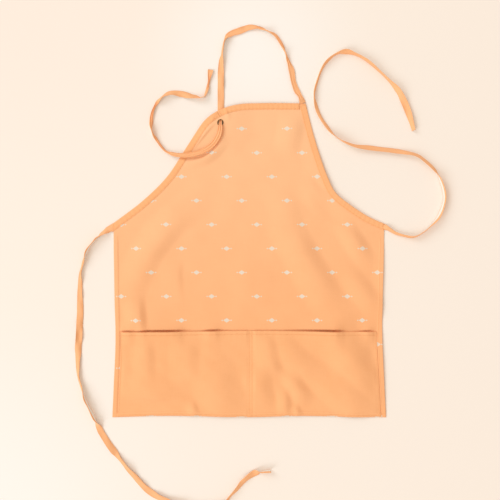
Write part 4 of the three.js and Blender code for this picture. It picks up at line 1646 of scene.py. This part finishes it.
@dataclass
class Eyelet:
    """A brass ring set in the bib's corner: a rolled front flange, a barrel and a back flange."""

    place: Place
    sides: int = 56
    section: Array = field(default_factory=lambda: MM * np.array([
        (5.75, 3.2), (6.2, 3.15), (7.4, 3.2), (7.9, 3.45), (8.0, 3.75), (7.6, 3.95), (6.6, 4.0),
        (6.2, 4.15), (6.2, 5.1), (6.4, 5.25), (6.8, 5.28), (7.05, 5.36), (7.15, 5.55), (7.05, 5.8),
        (6.8, 6.02), (6.45, 6.15), (6.1, 6.12), (5.75, 5.95), (5.6, 5.6), (5.6, 3.9), (5.62, 3.4),
    ]))

    def build(self, brass: bpy.types.Material) -> None:
        """Builds the ring: its closed section, radius and height, turned about an upright axis.

        Args:
            brass: the ring's material.
        """
        turn = np.arange(self.sides) * 2 * np.pi / self.sides
        radius, height = self.section.T
        x = self.place[0] + np.cos(turn)[:, None] * radius
        y = self.place[1] + np.sin(turn)[:, None] * radius
        points = np.stack(np.broadcast_arrays(x, y, height), -1).reshape(-1, 3)
        number = np.arange(len(points)).reshape(self.sides, len(radius))
        ahead = np.roll(number, -1, 0)
        faces = np.stack([number, ahead, np.roll(ahead, -1, 1), np.roll(number, -1, 1)], -1)
        ring = mesh_object("eyelet_ring", points, [faces.reshape(-1, 4)])
        dress(ring, brass, Slot.BRASS, "eyelet")


TAPE_PITCH = 0.8 * MM
CLOTHS = (
    ClothFinish("binding_tape", (0.97, 0.488, 0.226), (0.86, 0.382, 0.145), pitch=TAPE_PITCH, follows="UV"),
    ClothFinish("strap_tape", (0.97, 0.505, 0.25), (0.86, 0.4, 0.165), pitch=TAPE_PITCH, follows="UV"),
    ClothFinish("printed_canvas", (0.965, 0.475, 0.222), (0.86, 0.38, 0.15), design=Print.LOZENGES),
    ClothFinish("plain_canvas", (0.96, 0.48, 0.225), (0.86, 0.385, 0.15)),
)


def main() -> None:
    """Builds the studio, the straps and the sewn body."""
    logging.basicConfig(level=logging.INFO, format="%(name)s %(message)s")
    Studio().build()
    tape, strap, printed, plain = (finish.material() for finish in CLOTHS)
    thread = ThreadFinish().material()

    Strap("neck_strap", NECK_STRAP, 3, pleats=0.001).build(strap, thread)
    Strap("tie_right", TIE_RIGHT, 5).build(strap, thread)
    Strap("tie_left", TIE_LEFT, 11).build(strap, thread)

    body = BodyPanel()
    front = body.build(printed, thread)
    Pocket(body).build(plain, thread, front)
    outline = body.outline
    top_end = float(outline.bib.share_where(0, np.array(TOP_BINDING_END), BIB_CORNER, 1.0))
    bindings = (
        Binding("top_binding", body, outline.bib, ClothSide.RIGHT, BIB_CORNER, top_end),
        Binding("armhole_binding_left", body, outline.bib, ClothSide.RIGHT, 0.0, BIB_CORNER, LEFT_WAIST),
        Binding("armhole_binding_right", body, outline.armhole, ClothSide.LEFT, 0.0, 1.0, RIGHT_WAIST),
    )
    seams = [line for binding in bindings for line in binding.build(tape)]
    dress(Stitching().build("binding_stitches", seams), thread, Slot.TAPE)
    Eyelet(body.eyelet).build(BrassFinish().material())


if __name__ == "__main__":
    main()
